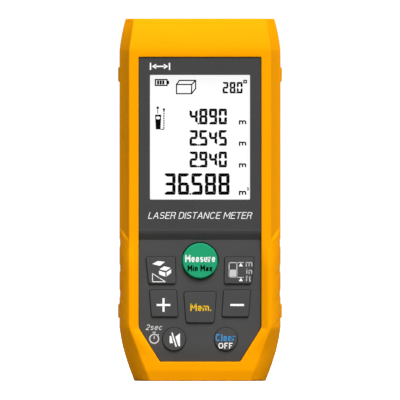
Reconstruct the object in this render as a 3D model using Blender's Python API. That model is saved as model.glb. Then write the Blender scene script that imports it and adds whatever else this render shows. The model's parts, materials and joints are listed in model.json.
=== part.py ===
"""Handheld laser distance meter, modelled as an assembly of separate pieces.

Frame: +Z up, along the measuring axis. The instrument stands on its flat base end, the rear measuring
reference, with the origin at the middle of that face. The laser leaves the top end towards +Z, the display and
keys face -Y, and the battery door is on the +Y side. Lengths below are in millimetres.
"""

import math

import bmesh
import bpy
from mathutils import Matrix, Vector

MM = 0.001

# ---------------------------------------------------------------- driving dimensions (mm)
LENGTH = 127.0  # base end to laser end
HALF_WIDTH = 28.1  # body half width, without the side pads
PAD_HALF_WIDTH = 28.75  # half width over the side pads
FRONT_Y, BACK_Y = -16.5, 16.5
RIDGE_Y = -17.5  # crest of the ridges beside the keypad
FRONT_FLAT = 24.85  # half width of the flat front rim
BACK_FLAT = 24.4
SIDE_Y0, SIDE_Y1 = -8.5, 8.0  # where the upright side wall starts and ends
BOTTOM_TAPER_Z, TOP_TAPER_Z = 19.0, 115.0
FRONT_CREASE_Z = 116.0  # above this the front slopes back to the laser end
BASE_BEVEL_Z = 3.75
BACK_SLOPE_Z = 120.0

SKIN = 1.6  # soft bumper wall
GAP = 0.3  # clearance between touching pieces
CASE = 1.5  # hard case wall
RIM_SKIN = 2.5  # bumper thickness at the front rim
PART_GAP = 0.15  # half of the parting line between the bumpers
CASE_RIM = 0.6  # half of the space between the case halves, which holds the gasket

# the panel in the front rim: lower corners cut off at a slant
PANEL = [(14.0, 6.8), (21.5, 18.7), (21.5, 113.5)]
BACK_PANEL = [(14.0, 6.8), (21.5, 18.7), (21.5, 119.0)]
PANEL_LINE_Y = -16.2  # face of the display bezel
KEY_FACE_Y = -15.1  # face of the keypad cover
CLAMP_Y = -14.0  # back face of bezel and cover
STEP_Z = 49.6  # lower edge of the display bezel
DISPLAY = (17.5, 63.6, 107.2)  # display opening: half width, lowest z, highest z

KEY_TRAVEL = 0.5
DOME_Y = -9.86  # crown of each snap dome
STEM_END_Y = DOME_Y - KEY_TRAVEL - 0.04  # a fully pressed stem stops just on the dome
BOARD_Y = (-9.1, -7.9)

CELL_R, CELL_Y, CELL_X = 5.25, 8.45, 5.6
BAY = (11.6, 2.9, 13.9, 64.5)  # half width, floor y, lowest z, highest z
HINGE = (14.7, 10.6)  # y, z of the door's hinge axis
HINGE_R, PIN_R, PIN_BORE_R = 1.5, 0.7, 1.0
DOOR_TOP = 67.1
DOOR_HALF = 13.4

TRIPOD_Z = 76.2
TRIPOD_R = 3.25  # core of the camera-thread bush

OPTIC_Y = 2.2
OPTIC_SCREW = (13.2, 89.0)
RECEIVER_X, LASER_X = 5.4, -9.6

CASE_SCREWS = {"lower": (16.6, 17.0), "upper": (18.0, 114.5)}
BOARD_SCREWS = {"lower": (18.0, 56.0), "upper": (12.5, 115.0)}

# side pads and grip grooves: lowest and highest z
PADS = [(104.8, 110.2), (21.9, 27.1)]
GROOVES = [(46.9, 49.8), (38.2, 41.1), (29.5, 32.4), (19.0, 21.5)]

MATERIALS = {
    "bumper": ((0.94, 0.36, 0.004), 0.55, 0.0),
    "case_plastic": ((0.05, 0.05, 0.052), 0.55, 0.0),
    "panel_plastic": ((0.072, 0.072, 0.074), 0.45, 0.0),
    "key_rubber": ((0.078, 0.078, 0.08), 0.6, 0.0),
    "key_green": ((0.022, 0.35, 0.165), 0.4, 0.0),
    "gasket_rubber": ((0.02, 0.02, 0.02), 0.8, 0.0),
    "clear_plastic": ((0.92, 0.94, 0.95), 0.06, 0.0),
    "lens_glass": ((0.85, 0.9, 0.95), 0.03, 0.0),
    "white_plastic": ((0.85, 0.85, 0.83), 0.5, 0.0),
    "board_green": ((0.01, 0.12, 0.05), 0.45, 0.0),
    "chip_black": ((0.02, 0.02, 0.022), 0.5, 0.0),
    "steel": ((0.62, 0.62, 0.64), 0.3, 1.0),
    "brass": ((0.75, 0.55, 0.22), 0.3, 1.0),
    "alloy": ((0.45, 0.46, 0.48), 0.45, 1.0),
    "cell_wrap": ((0.08, 0.13, 0.22), 0.35, 0.2),
    "flex_film": ((0.62, 0.33, 0.08), 0.4, 0.0),
    "foam": ((0.06, 0.06, 0.065), 0.95, 0.0),
}


# ---------------------------------------------------------------- scene and materials
def clear_scene():
    for obj in list(bpy.data.objects):
        bpy.data.objects.remove(obj)


def material(name):
    found = bpy.data.materials.get(name)
    if found:
        return found
    colour, rough, metal = MATERIALS[name]
    made = bpy.data.materials.new(name)
    made.use_nodes = True
    bsdf = made.node_tree.nodes["Principled BSDF"]
    bsdf.inputs["Base Color"].default_value = (*colour, 1.0)
    bsdf.inputs["Roughness"].default_value = rough
    bsdf.inputs["Metallic"].default_value = metal
    made.diffuse_color = (*colour, 1.0)
    return made


def make(name, points, faces, mat=None):
    """A mesh object from points in millimetres, with its faces turned outwards."""
    mesh = bpy.data.meshes.new(name)
    mesh.from_pydata([(x * MM, y * MM, z * MM) for x, y, z in points], [], faces)
    bm = bmesh.new()
    bm.from_mesh(mesh)
    bmesh.ops.recalc_face_normals(bm, faces=bm.faces)
    bm.to_mesh(mesh)
    bm.free()
    obj = bpy.data.objects.new(name, mesh)
    bpy.context.scene.collection.objects.link(obj)
    if mat:
        mesh.materials.append(material(mat))
    return obj


# ---------------------------------------------------------------- outlines
def offset(ctrl, gaps):
    """The polygon with each edge moved inwards by its own gap. ctrl runs counter-clockwise."""
    n = len(ctrl)
    lines = []
    for i in range(n):
        (ax, ay), (bx, by) = ctrl[i], ctrl[(i + 1) % n]
        dx, dy = bx - ax, by - ay
        size = math.hypot(dx, dy)
        nx, ny = -dy / size, dx / size
        lines.append((ax + nx * gaps[i], ay + ny * gaps[i], dx / size, dy / size))
    out = []
    for i in range(n):
        ax, ay, adx, ady = lines[i - 1]
        bx, by, bdx, bdy = lines[i]
        cross = adx * bdy - ady * bdx
        if abs(cross) < 1e-6:
            out.append((bx, by))
            continue
        t = ((bx - ax) * bdy - (by - ay) * bdx) / cross
        out.append((ax + adx * t, ay + ady * t))
    return out


def rounded(ctrl, radii, steps, inset=0.0):
    """The polygon with every corner turned into an arc of steps + 1 points. inset moves all edges inwards."""
    n = len(ctrl)
    moved = offset(ctrl, [inset] * n) if inset else ctrl
    out = []
    for i in range(n):
        px, py = moved[i - 1]
        cx, cy = moved[i]
        qx, qy = moved[(i + 1) % n]
        ax, ay = px - cx, py - cy
        bx, by = qx - cx, qy - cy
        la, lb = math.hypot(ax, ay), math.hypot(bx, by)
        ax, ay, bx, by = ax / la, ay / la, bx / lb, by / lb
        turn = math.pi - math.acos(max(-1.0, min(1.0, ax * bx + ay * by)))
        convex = (-ax) * by - (-ay) * bx > 0
        r = radii[i]
        if r > 0:
            r = max(r - inset, 0.12) if convex else r + inset
        reach = min(r * math.tan(turn / 2), 0.48 * la, 0.48 * lb)
        if r <= 0 or turn < 1e-3:
            out += [(cx, cy)] * (steps + 1) if steps else [(cx, cy)]
            continue
        r = reach / math.tan(turn / 2)
        sx, sy = cx + ax * reach, cy + ay * reach
        mx, my = ax + bx, ay + by
        ml = math.hypot(mx, my)
        to_centre = r / math.cos(turn / 2)
        ox, oy = cx + mx / ml * to_centre, cy + my / ml * to_centre
        start = math.atan2(sy - oy, sx - ox)
        sweep = turn if convex else -turn
        for k in range(steps + 1):
            a = start + sweep * k / steps
            out.append((ox + r * math.cos(a), oy + r * math.sin(a)))
    return out


def circle(cx, cy, r, n=20):
    return [
        (cx + r * math.cos(2 * math.pi * k / n), cy + r * math.sin(2 * math.pi * k / n))
        for k in range(n)
    ]


def box_ctrl(x0, x1, z0, z1):
    return [(x0, z0), (x1, z0), (x1, z1), (x0, z1)]


def panel_ctrl(half, inset=0.0):
    """The panel outline from its right half, mirrored, counter-clockwise in X and Z."""
    right = list(half)
    left = [(-x, z) for x, z in reversed(half)]
    ctrl = right + left
    return offset(ctrl, [inset] * len(ctrl)) if inset else ctrl


# ---------------------------------------------------------------- solids
def stack(name, rings, mat=None):
    """A closed solid from rings of points, each joined to the next, with a cap at both ends."""
    n = len(rings[0])
    points = [p for ring in rings for p in ring]
    faces = []
    for k in range(len(rings) - 1):
        for i in range(n):
            j = (i + 1) % n
            faces.append((k * n + i, k * n + j, (k + 1) * n + j, (k + 1) * n + i))
    faces.append(tuple(range(n - 1, -1, -1)))
    faces.append(tuple((len(rings) - 1) * n + i for i in range(n)))
    return make(name, points, faces, mat)


def along_y(name, outline, levels, mat=None):
    """outline(inset) gives points in X and Z; levels are (y, inset)."""
    return stack(name, [[(x, y, z) for x, z in outline(d)] for y, d in levels], mat)


def along_z(name, outline, levels, mat=None):
    return stack(name, [[(x, y, z) for x, y in outline(d)] for z, d in levels], mat)


def along_x(name, outline, levels, mat=None):
    return stack(name, [[(x, y, z) for y, z in outline(d)] for x, d in levels], mat)


def block(name, x, y, z, mat=None):
    return along_z(
        name, lambda d: [(x[0], y[0]), (x[1], y[0]), (x[1], y[1]), (x[0], y[1])],
        [(z[0], 0), (z[1], 0)], mat,
    )


def rod_y(name, cx, cz, r, y0, y1, n=16, mat=None):
    return along_y(name, lambda d: circle(cx, cz, r, n), [(y0, 0), (y1, 0)], mat)


def rod_z(name, cx, cy, r, z0, z1, n=20, mat=None):
    return along_z(name, lambda d: circle(cx, cy, r, n), [(z0, 0), (z1, 0)], mat)


def turned_z(name, cx, cy, profile, n=20, mat=None):
    """A solid of revolution about an upright axis. profile is (z, radius) from the lowest z up."""
    return stack(
        name, [[(x, y, z) for x, y in circle(cx, cy, r, n)] for z, r in profile], mat
    )


def turned_y(name, cx, cz, profile, n=16, mat=None):
    return stack(
        name, [[(x, y, z) for x, z in circle(cx, cz, r, n)] for y, r in profile], mat
    )


def combine(obj, other, operation):
    """Applies an exact Boolean and removes the other object."""
    mod = obj.modifiers.new("cut", "BOOLEAN")
    mod.operation = operation
    mod.solver = "EXACT"
    mod.object = other
    bpy.context.view_layer.update()
    graph = bpy.context.evaluated_depsgraph_get()
    mesh = bpy.data.meshes.new_from_object(obj.evaluated_get(graph))
    obj.modifiers.clear()
    obj.data = mesh
    bpy.data.objects.remove(other)
    return obj


def cut(obj, *others):
    for other in others:
        combine(obj, other, "DIFFERENCE")
    return obj


def join(obj, *others):
    for other in others:
        combine(obj, other, "UNION")
    return obj


def bent_strip(name, path, x0, x1, thick, mat):
    """A thin ribbon that follows points in Y and Z, extruded across X."""
    left, right = [], []
    for i, (y, z) in enumerate(path):
        ay, az = path[max(i - 1, 0)]
        by, bz = path[min(i + 1, len(path) - 1)]
        dy, dz = by - ay, bz - az
        size = math.hypot(dy, dz)
        ny, nz = -dz / size, dy / size
        left.append((y + ny * thick / 2, z + nz * thick / 2))
        right.append((y - ny * thick / 2, z - nz * thick / 2))
    ring = left + right[::-1]
    return along_x(name, lambda d: ring, [(x0, 0), (x1, 0)], mat)


# ---------------------------------------------------------------- the body's outer form
def half_width(z):
    w = HALF_WIDTH
    if z < BOTTOM_TAPER_Z:
        w -= 5.5 * ((BOTTOM_TAPER_Z - z) / BOTTOM_TAPER_Z) ** 1.4
    if z > TOP_TAPER_Z:
        w -= 2.2 * ((z - TOP_TAPER_Z) / (LENGTH - TOP_TAPER_Z)) ** 1.5
    return w


def front_flat(z):
    f = FRONT_FLAT
    if z < 18.7:
        f -= 7.25 * (18.7 - z) / 18.7
    if z > FRONT_CREASE_Z:
        f -= 1.45 * ((z - FRONT_CREASE_Z) / (LENGTH - FRONT_CREASE_Z)) ** 1.3
    return f


def back_flat(z):
    f = BACK_FLAT
    if z < 18.7:
        f -= 6.6 * (18.7 - z) / 18.7
    if z > TOP_TAPER_Z:
        f -= 1.4 * ((z - TOP_TAPER_Z) / (LENGTH - TOP_TAPER_Z)) ** 1.5
    return f


def front_y(z):
    y = FRONT_Y
    if z > FRONT_CREASE_Z:
        t = z - FRONT_CREASE_Z
        y += 0.2 * t + 0.02 * t * t
    if z < BASE_BEVEL_Z:
        y += 0.7 * ((BASE_BEVEL_Z - z) / BASE_BEVEL_Z) ** 1.1
    return y


def back_y(z):
    y = BACK_Y
    if z > BACK_SLOPE_Z:
        y -= 0.035 * (z - BACK_SLOPE_Z) ** 2
    if z < BASE_BEVEL_Z:
        y -= 0.7 * ((BASE_BEVEL_Z - z) / BASE_BEVEL_Z) ** 1.1
    return y


def section(z, front, side, back, more=0.0):
    """The body's cross-section at z as an outline in X and Y, moved inwards by front, side and back."""
    w, f, b = half_width(z), front_flat(z), back_flat(z)
    yf, yb = front_y(z), back_y(z)
    ctrl = [(f, yf), (w, SIDE_Y0), (w, SIDE_Y1), (b, yb), (-b, yb), (-w, SIDE_Y1), (-w, SIDE_Y0), (-f, yf)]
    s = side + more
    ctrl = offset(ctrl, [s, s, s, back + more, s, s, s, front + more])
    shrink = side + more
    radii = [max(0.9 - shrink, 0.4), 9.0, 9.0, max(2.6 - shrink, 0.8)]
    return rounded(ctrl, radii + radii[::-1], 2)


STATIONS = [1.9, 3.75, 7.0, 11.0, 15.0, 19.0, 115.0, 116.0, 118.5, 121.0, 123.0, 125.0]


def body(name, front, side, back, z0, z1, edge):
    zs = [z for z in STATIONS if z0 + edge + 0.4 < z < z1 - edge - 0.4]
    levels = [(z0, edge), (z0 + edge, 0.0)] + [(z, 0.0) for z in zs] + [(z1 - edge, 0.0), (z1, edge)]
    rings = [[(x, y, z) for x, y in section(z, front, side, back, e)] for z, e in levels]
    return stack(name, rings)


def side_pad(name, side, z0, z1):
    outline = [(-5.0, z0), (5.0, z0), (5.0, z1), (-5.0, z1)]
    return along_x(
        name, lambda d: rounded(outline, [0.8] * 4, 1, d),
        [(side * 26.5, 0.0), (side * 28.2, 0.0), (side * PAD_HALF_WIDTH, 0.7)],
    )


def half_space(name, y0, y1):
    return block(name, (-40, 40), (y0, y1), (-5, LENGTH + 5))


def optic_opening(name, inset, z0, z1):
    ctrl = [(-18.0, -7.0), (18.0, -7.0), (18.0, 11.0), (-18.0, 11.0)]
    return along_z(name, lambda d: rounded(ctrl, [2.4] * 4, 2, inset + d), [(z0, 0), (z1, 0)])


# ---------------------------------------------------------------- the shells
def bumper_solid(name):
    outer = body(name, 0, 0, 0, 0.0, LENGTH, 0.6)
    for i, (z0, z1) in enumerate(PADS):
        for side in (-1, 1):
            join(outer, side_pad(f"pad{i}{side}", side, z0, z1))
    for i, (z0, z1) in enumerate(GROOVES):
        for side in (-1, 1):
            x = sorted((side * (HALF_WIDTH - 0.55), side * 32.0))
            cut(outer, block(f"groove{i}{side}", x, (-11.0, 10.5), (z0, z1)))
    inner = body(name + "_in", RIM_SKIN, SKIN, SKIN, SKIN, LENGTH - SKIN, 0.4)
    cut(outer, inner)
    cut(outer, optic_opening(name + "_end", 0.0, 120.0, 130.0))
    return outer


def front_bumper():
    obj = bumper_solid("front_bumper")
    cut(obj, half_space("keep", -PART_GAP, 40))
    outline = panel_ctrl(PANEL)
    cut(obj, along_y("window", lambda d: rounded(outline, [0.5] * 6, 1, d), [(-20, 0), (-12.9, 0)]))
    for side in (-1, 1):  # the rim rises to a ridge along each side of the keypad
        def ridge(d, side=side):
            crest = RIDGE_Y + d * (FRONT_Y + 0.1 - RIDGE_Y)
            low = -16.25 + 0.1 * d
            shape = [(21.7, -15.5), (21.7, low), (23.75, crest), (24.85 - 0.1 * d, crest), (27.8, -10.3), (27.2, -10.3), (24.3, -15.5)]
            return [(side * x, y) for x, y in shape]

        join(obj, along_z(f"ridge{side}", ridge, [(18.8, 1), (22.0, 0), (42.0, 0), (49.4, 1)]))
    obj.data.materials.clear()
    obj.data.materials.append(material("bumper"))
    return obj


def rear_bumper():
    obj = bumper_solid("rear_bumper")
    cut(obj, half_space("keep", -40, PART_GAP))
    outline = panel_ctrl(BACK_PANEL)
    cut(obj, along_y("window", lambda d: rounded(outline, [0.5] * 6, 1, d), [(12.5, 0), (20, 0)]))
    obj.data.materials.clear()
    obj.data.materials.append(material("bumper"))
    return obj


def case_solid(name):
    skin = SKIN + GAP
    outer = body(name, RIM_SKIN + GAP, skin, skin, skin, LENGTH - skin, 0.4)
    inside = skin + CASE
    inner = body(name + "_in", RIM_SKIN + GAP + 1.4, inside, inside, inside, LENGTH - inside, 0.3)
    cut(outer, inner)
    cut(outer, optic_opening(name + "_end", 0.0, 120.0, 130.0))
    return outer


def keypad_hole():
    half = [(13.2, 9.7), (13.9, 11.0), (13.9, 20.2), (19.9, 21.2), (19.9, 49.3)]
    return panel_ctrl(half)


def front_case():
    obj = case_solid("front_case")
    cut(obj, half_space("keep", -CASE_RIM, 40))
    # cut the two openings while the wall is still plain, then add the columns
    cut(obj, block("lcd_hole", (-20.2, 20.2), (-18, -11.9), (60.9, 110.1)))
    hole = keypad_hole()
    cut(obj, along_y("key_hole", lambda d: hole, [(-18, 0), (-11.9, 0)]))
    for x, z in CASE_SCREWS.values():
        for side in (-1, 1):
            join(obj, rod_y("column", side * x, z, 2.4, -12.9, -0.8, 14))
            cut(obj, rod_y("thread", side * x, z, 1.5, -8.6, 1.0, 12))
    for x, z in BOARD_SCREWS.values():
        for side in (-1, 1):
            join(obj, rod_y("boss", side * x, z, 2.1, -12.9, -9.4, 12))
            cut(obj, rod_y("pilot", side * x, z, 1.2, -11.9, -9.0, 10))
    obj.data.materials.clear()
    obj.data.materials.append(material("case_plastic"))
    return obj


def rear_case():
    obj = case_solid("rear_case")
    cut(obj, half_space("keep", -40, CASE_RIM))
    outline = panel_ctrl(BACK_PANEL, GAP)
    join(obj, along_y("plateau", lambda d: rounded(outline, [0.5] * 6, 1, d), [(13.6, 0), (15.95, 0), (16.2, 0.25)]))
    cut(obj, block("optic_room", (-19.0, 19.0), (11.0, 14.6), (83.0, 118.0)))
    hw, floor, z0, z1 = BAY
    wall = 1.5
    join(
        obj,
        block("tub", (-hw - wall, hw + wall), (floor - wall, 13.9), (z0 - wall, z1 + wall)),
        block("flange", (-16.2, 16.2), (12.2, 14.6), (7.3, z1 + wall + 2.9)),
    )
    for x, z in CASE_SCREWS.values():
        for side in (-1, 1):
            join(obj, rod_y("column", side * x, z, 2.9, -0.5, 14.9, 16))
    join(obj, rod_y("tripod_boss", 0, TRIPOD_Z, 5.9, 7.6, 15.0, 20))
    for side in (-1, 1):
        join(obj, rod_y("optic_boss", side * OPTIC_SCREW[0], OPTIC_SCREW[1], 2.5, 6.9, 15.2, 12))
    y, z = HINGE
    cut(
        obj,
        block("door_pocket", (-DOOR_HALF - GAP, DOOR_HALF + GAP), (13.7, 20.0), (z - HINGE_R - GAP, DOOR_TOP + GAP)),
        block("barrel_pocket", (-DOOR_HALF - GAP, DOOR_HALF + GAP), (y - HINGE_R - GAP, 13.9), (z - HINGE_R - GAP, z + HINGE_R + GAP - 0.001)),
        block("bay", (-hw, hw), (floor, 14.5), (z0, z1)),
        along_x("pin_bore", lambda d: circle(y, z, PIN_BORE_R, 12), [(-15.1, 0), (15.1, 0)]),
        along_y("scoop", lambda d: rounded(box_ctrl(-7.5, 7.5, DOOR_TOP - 1.0, DOOR_TOP + 3.4), [0.0, 0.0, 3.0, 3.0], 3, d), [(14.6, 0.9), (16.5, 0)]),
        rod_y("tripod_seat", 0, TRIPOD_Z, 4.9, 9.0, 20.0, 20),
    )
    for x, z in CASE_SCREWS.values():
        for side in (-1, 1):
            cut(
                obj,
                rod_y("shank", side * x, z, 1.5, -2.0, 6.0, 12),
                rod_y("head_room", side * x, z, 2.3, 5.0, 20.0, 16),
            )
    for side in (-1, 1):
        cut(obj, rod_y("optic_pilot", side * OPTIC_SCREW[0], OPTIC_SCREW[1], 1.1, 4.0, 12.0, 10))
    obj.data.materials.clear()
    obj.data.materials.append(material("case_plastic"))
    return obj


def case_gasket():
    """A flat cord gasket between the two case rims, open where the optics pass through the end."""
    skin = SKIN + GAP + 0.1
    outer = body("case_gasket", RIM_SKIN + GAP, skin, skin, skin, LENGTH - skin, 0.4)
    inside = skin + 1.1
    cut(outer, body("gasket_in", RIM_SKIN + GAP + 1.2, inside, inside, inside, LENGTH - inside, 0.3))
    cut(outer, half_space("above", -40, -0.3), half_space("below", 0.3, 40))
    cut(outer, block("optic_gap", (-18.4, 18.4), (-5, 5), (120.0, 130.0)))
    outer.data.materials.clear()
    outer.data.materials.append(material("gasket_rubber"))
    return outer


# ---------------------------------------------------------------- the front
def display_bezel():
    def ring(y, inset, low):
        ctrl = [(-21.2, low), (21.2, low), (21.2, 113.2), (-21.2, 113.2)]
        return [(x, y, z) for x, z in rounded(ctrl, [0.4] * 4, 1, inset)]

    obj = stack(
        "display_bezel",
        [ring(CLAMP_Y, 0, STEP_Z), ring(-15.1, 0, STEP_Z), ring(-15.95, 0, STEP_Z + 1.6), ring(PANEL_LINE_Y, 0.25, STEP_Z + 1.75)],
        "panel_plastic",
    )
    w, z0, z1 = DISPLAY
    cut(
        obj,
        block("rebate", (-w - 1.2, w + 1.2), (-15.3, -13.0), (z0 - 1.2, z1 + 1.2)),
        block("opening", (-w, w), (-18.0, -15.0), (z0, z1)),
    )
    return obj


def display_window():
    w, z0, z1 = DISPLAY
    wide = box_ctrl(-w - 0.9, w + 0.9, z0 - 0.9, z1 + 0.9)
    boss = box_ctrl(-w + GAP, w - GAP, z0 + GAP, z1 - GAP)
    rings = [[(x, CLAMP_Y, z) for x, z in wide], [(x, -15.0, z) for x, z in wide],
             [(x, -15.0, z) for x, z in boss], [(x, -16.0, z) for x, z in boss]]
    return stack("display_window", rings, "clear_plastic")


KEYS = {
    # name: (outline, corner radii) in X and Z, or (centre x, centre z, radius)
    "shape_key": ([(-17.95, 34.05), (-8.45, 34.05), (-8.65, 43.4), (-18.95, 43.4)], 0.7),
    "reference_key": ([(8.45, 34.05), (17.95, 34.05), (18.95, 43.4), (8.65, 43.4)], 0.7),
    "plus_key": ([(-16.95, 22.5), (-7.65, 22.5), (-8.3, 31.85), (-17.7, 31.85)], 0.6),
    "minus_key": ([(7.65, 22.5), (16.95, 22.5), (17.7, 31.85), (8.3, 31.85)], 0.6),
    "memory_key": ([(-4.85, 20.4), (4.85, 20.4), (5.7, 31.3), (-5.7, 31.3)], 1.1),
    "measure_key": (0.0, 42.2, 6.1),
    "timer_key": (-9.05, 14.67, 4.05),
    "clear_key": (9.05, 14.67, 4.05),
}


def key_outline(name, grow):
    spec = KEYS[name]
    if len(spec) == 3:
        cx, cz, r = spec
        return lambda d: circle(cx, cz, r + grow - d, 28 if r > 5 else 20)
    ctrl, r = spec
    return lambda d: rounded(ctrl, [r] * 4, 2, d - grow)


def key_centre(name):
    spec = KEYS[name]
    if len(spec) == 3:
        return spec[0], spec[1]
    xs, zs = [p[0] for p in spec[0]], [p[1] for p in spec[0]]
    return sum(xs) / 4, sum(zs) / 4


def key(name):
    """A key cap with its retaining skirt behind the cover and its stem over the dome."""
    top = -16.4 if name == "measure_key" else -15.9
    mat = "key_green" if name == "measure_key" else "key_rubber"
    cap, skirt = key_outline(name, 0.0), key_outline(name, 0.5)
    cx, cz = key_centre(name)
    crown = 0.5 if name == "measure_key" else 0.35
    rings = [[(x, y, z) for x, z in cap(d)] for y, d in ((top, crown + 0.5), (top + 0.2, crown - 0.1), (top + 0.5, 0.0), (-13.7, 0.0))]
    rings += [[(x, y, z) for x, z in skirt(0.0)] for y in (-13.7, -13.0)]
    stem = circle(cx, cz, 1.5, len(rings[0]))
    # start the stem's ring at the same bearing as the outline's first point
    first = rings[-1][0]
    bearing = math.atan2(first[2] - cz, first[0] - cx)
    n = len(stem)
    stem = [(cx + 1.5 * math.cos(bearing + 2 * math.pi * k / n), cz + 1.5 * math.sin(bearing + 2 * math.pi * k / n)) for k in range(n)]
    obj = stack(name, rings, mat)
    return join(obj, along_y("stem", lambda d: circle(cx, cz, 1.5, 12), [(-13.4, 0), (STEM_END_Y, 0)]))


def keypad_cover():
    outline = panel_ctrl([PANEL[0], PANEL[1], (21.5, STEP_Z)], GAP)
    obj = along_y("keypad_cover", lambda d: rounded(outline, [0.4] * 6, 1, d),
                  [(CLAMP_Y, 0), (KEY_FACE_Y + 0.2, 0), (KEY_FACE_Y, 0.2)], "panel_plastic")
    for name in KEYS:
        cut(obj, along_y("key_hole", key_outline(name, 0.35), [(-18, 0), (-12, 0)]))
    return obj


def key_mat():
    half = [(13.6, 9.9), (13.6, 20.4), (20.3, 22.4), (20.3, 50.8)]
    outline = panel_ctrl(half)
    obj = along_y("key_mat", lambda d: outline, [(-12.1, 0), (-11.3, 0)], "key_rubber")
    for name in KEYS:
        cx, cz = key_centre(name)
        join(obj, rod_y("collar", cx, cz, 2.9, -11.6, -10.5, 14))
        cut(obj, rod_y("hole", cx, cz, 1.95, -14, -9, 14))
    return obj


def dome_sheet():
    """The film that carries the metal snap domes, one under each key."""
    half = [(13.3, 10.2), (13.3, 20.8), (19.4, 24.0), (19.4, 49.0)]
    outline = panel_ctrl(half)
    # the film lies on the board; each dome stands up from it
    obj = along_y("dome_sheet", lambda d: outline, [(-9.65, 0), (-9.4, 0)], "clear_plastic")
    for name in KEYS:
        cx, cz = key_centre(name)
        join(obj, turned_y("dome", cx, cz, [(DOME_Y, 1.4), (-9.8, 2.2), (-9.5, 3.0)], 14))
    return obj


# ---------------------------------------------------------------- display and board
def display_parts():
    return [
        block("lcd_panel", (-19.0, 19.0), (-13.5, -11.9), (61.9, 109.1), "lens_glass"),
        block("backlight_guide", (-18.6, 18.6), (-11.6, -9.8), (62.4, 108.6), "white_plastic"),
        cut(
            block("lcd_frame", (-19.9, 19.9), (-11.6, -9.4), (61.2, 109.8), "white_plastic"),
            block("frame_in", (-18.9, 18.9), (-12.5, -8.5), (62.1, 108.9)),
        ),
        bent_strip("lcd_flex", [(-12.7, 61.6), (-12.2, 61.2), (-11.85, 60.6), (-11.3, 60.0), (-10.4, 59.5), (-9.75, 58.7), (-9.55, 57.6), (-9.55, 52.5)], -8.0, 8.0, 0.25, "flex_film"),
    ]


def main_board():
    half = [(13.8, 9.0), (13.8, 20.6), (20.4, 23.4), (20.4, 111.2), (14.6, 111.2), (14.6, 118.0)]
    outline = panel_ctrl(half)
    obj = along_y("main_board", lambda d: outline, [(BOARD_Y[0], 0), (BOARD_Y[1], 0)], "board_green")
    for x, z in BOARD_SCREWS.values():
        for side in (-1, 1):
            cut(obj, rod_y("hole", side * x, z, 1.2, -12, -5, 12))
    return obj


def board_parts():
    y0 = BOARD_Y[1] + GAP
    ic = [
        ("processor_chip", 2.0, 70.5, 5.0, 1.4),
        ("tilt_sensor", 12.5, 72.0, 2.5, 1.6),
    ]
    made = []
    for name, x, z, half, high in ic:
        outline = box_ctrl(x - half, x + half, z - half, z + half)
        made.append(along_y(name, lambda d, o=outline: rounded(o, [0.3] * 4, 1, d), [(y0, 0), (y0 + high - 0.2, 0), (y0 + high, 0.2)], "chip_black"))
    made.append(turned_y("buzzer", -8.0, 40.0, [(y0, 4.6), (y0 + 2.6, 4.6), (y0 + 3.0, 4.2)], 18, "chip_black"))
    cut(made[-1], rod_y("sound_hole", -8.0, 40.0, 0.8, y0 + 1.5, y0 + 4, 10))
    made.append(block("battery_connector", (-5.0, 5.0), (y0, 1.1), (15.5, 19.5), "white_plastic"))
    return made


def screw(name, x, z, y_head, y_top, head_r, shank_r, y_end, mat="steel"):
    """A pan-head screw along Y with a cross recess. y_head is where the head meets the shank."""
    step = 1 if y_top > y_head else -1
    profile = [(y_end, shank_r * 0.6), (y_end + step * 0.5, shank_r), (y_head, shank_r), (y_head, head_r),
               (y_top - step * 0.4, head_r), (y_top, head_r * 0.75)]
    obj = turned_y(name, x, z, profile, 12, mat)
    d, w = head_r * 0.5, head_r * 0.14
    for a, b in ((d, w), (w, d)):
        ys = sorted((y_top - step * 0.7, y_top + step * 1.0))
        cut(obj, block("recess", (x - a, x + a), ys, (z - b, z + b)))
    return obj


# ---------------------------------------------------------------- optics
def optics_chassis():
    x, y = RECEIVER_X, OPTIC_Y
    obj = turned_z("optics_chassis", x, y, [(84.2, 4.6), (110.0, 8.9), (122.2, 8.9)], 24, "alloy")
    join(
        obj,
        block("plate", (-15.6, 15.6), (5.0, 6.6), (86.4, 93.0)),
        block("web", (-13.0, 6.0), (0.9, 3.5), (100.5, 119.5)),
        rod_z("sleeve", LASER_X, y, 4.8, 103.0, 122.2, 20),
        block("neck", (-9.0, 6.0), (1.2, 6.2), (92.5, 104.0)),
    )
    cut(
        obj,
        turned_z("light_path", x, y, [(83.0, 2.9), (110.0, 7.6), (118.0, 7.6)], 24),
        rod_z("lens_seat", x, y, 8.3, 117.9, 124.0, 24),
        rod_z("laser_path", LASER_X, y, 4.3, 92.0, 124.0, 20),
    )
    for side in (-1, 1):
        cut(obj, rod_y("ear", side * OPTIC_SCREW[0], OPTIC_SCREW[1], 1.3, 0, 9, 12))
    return obj


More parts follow.
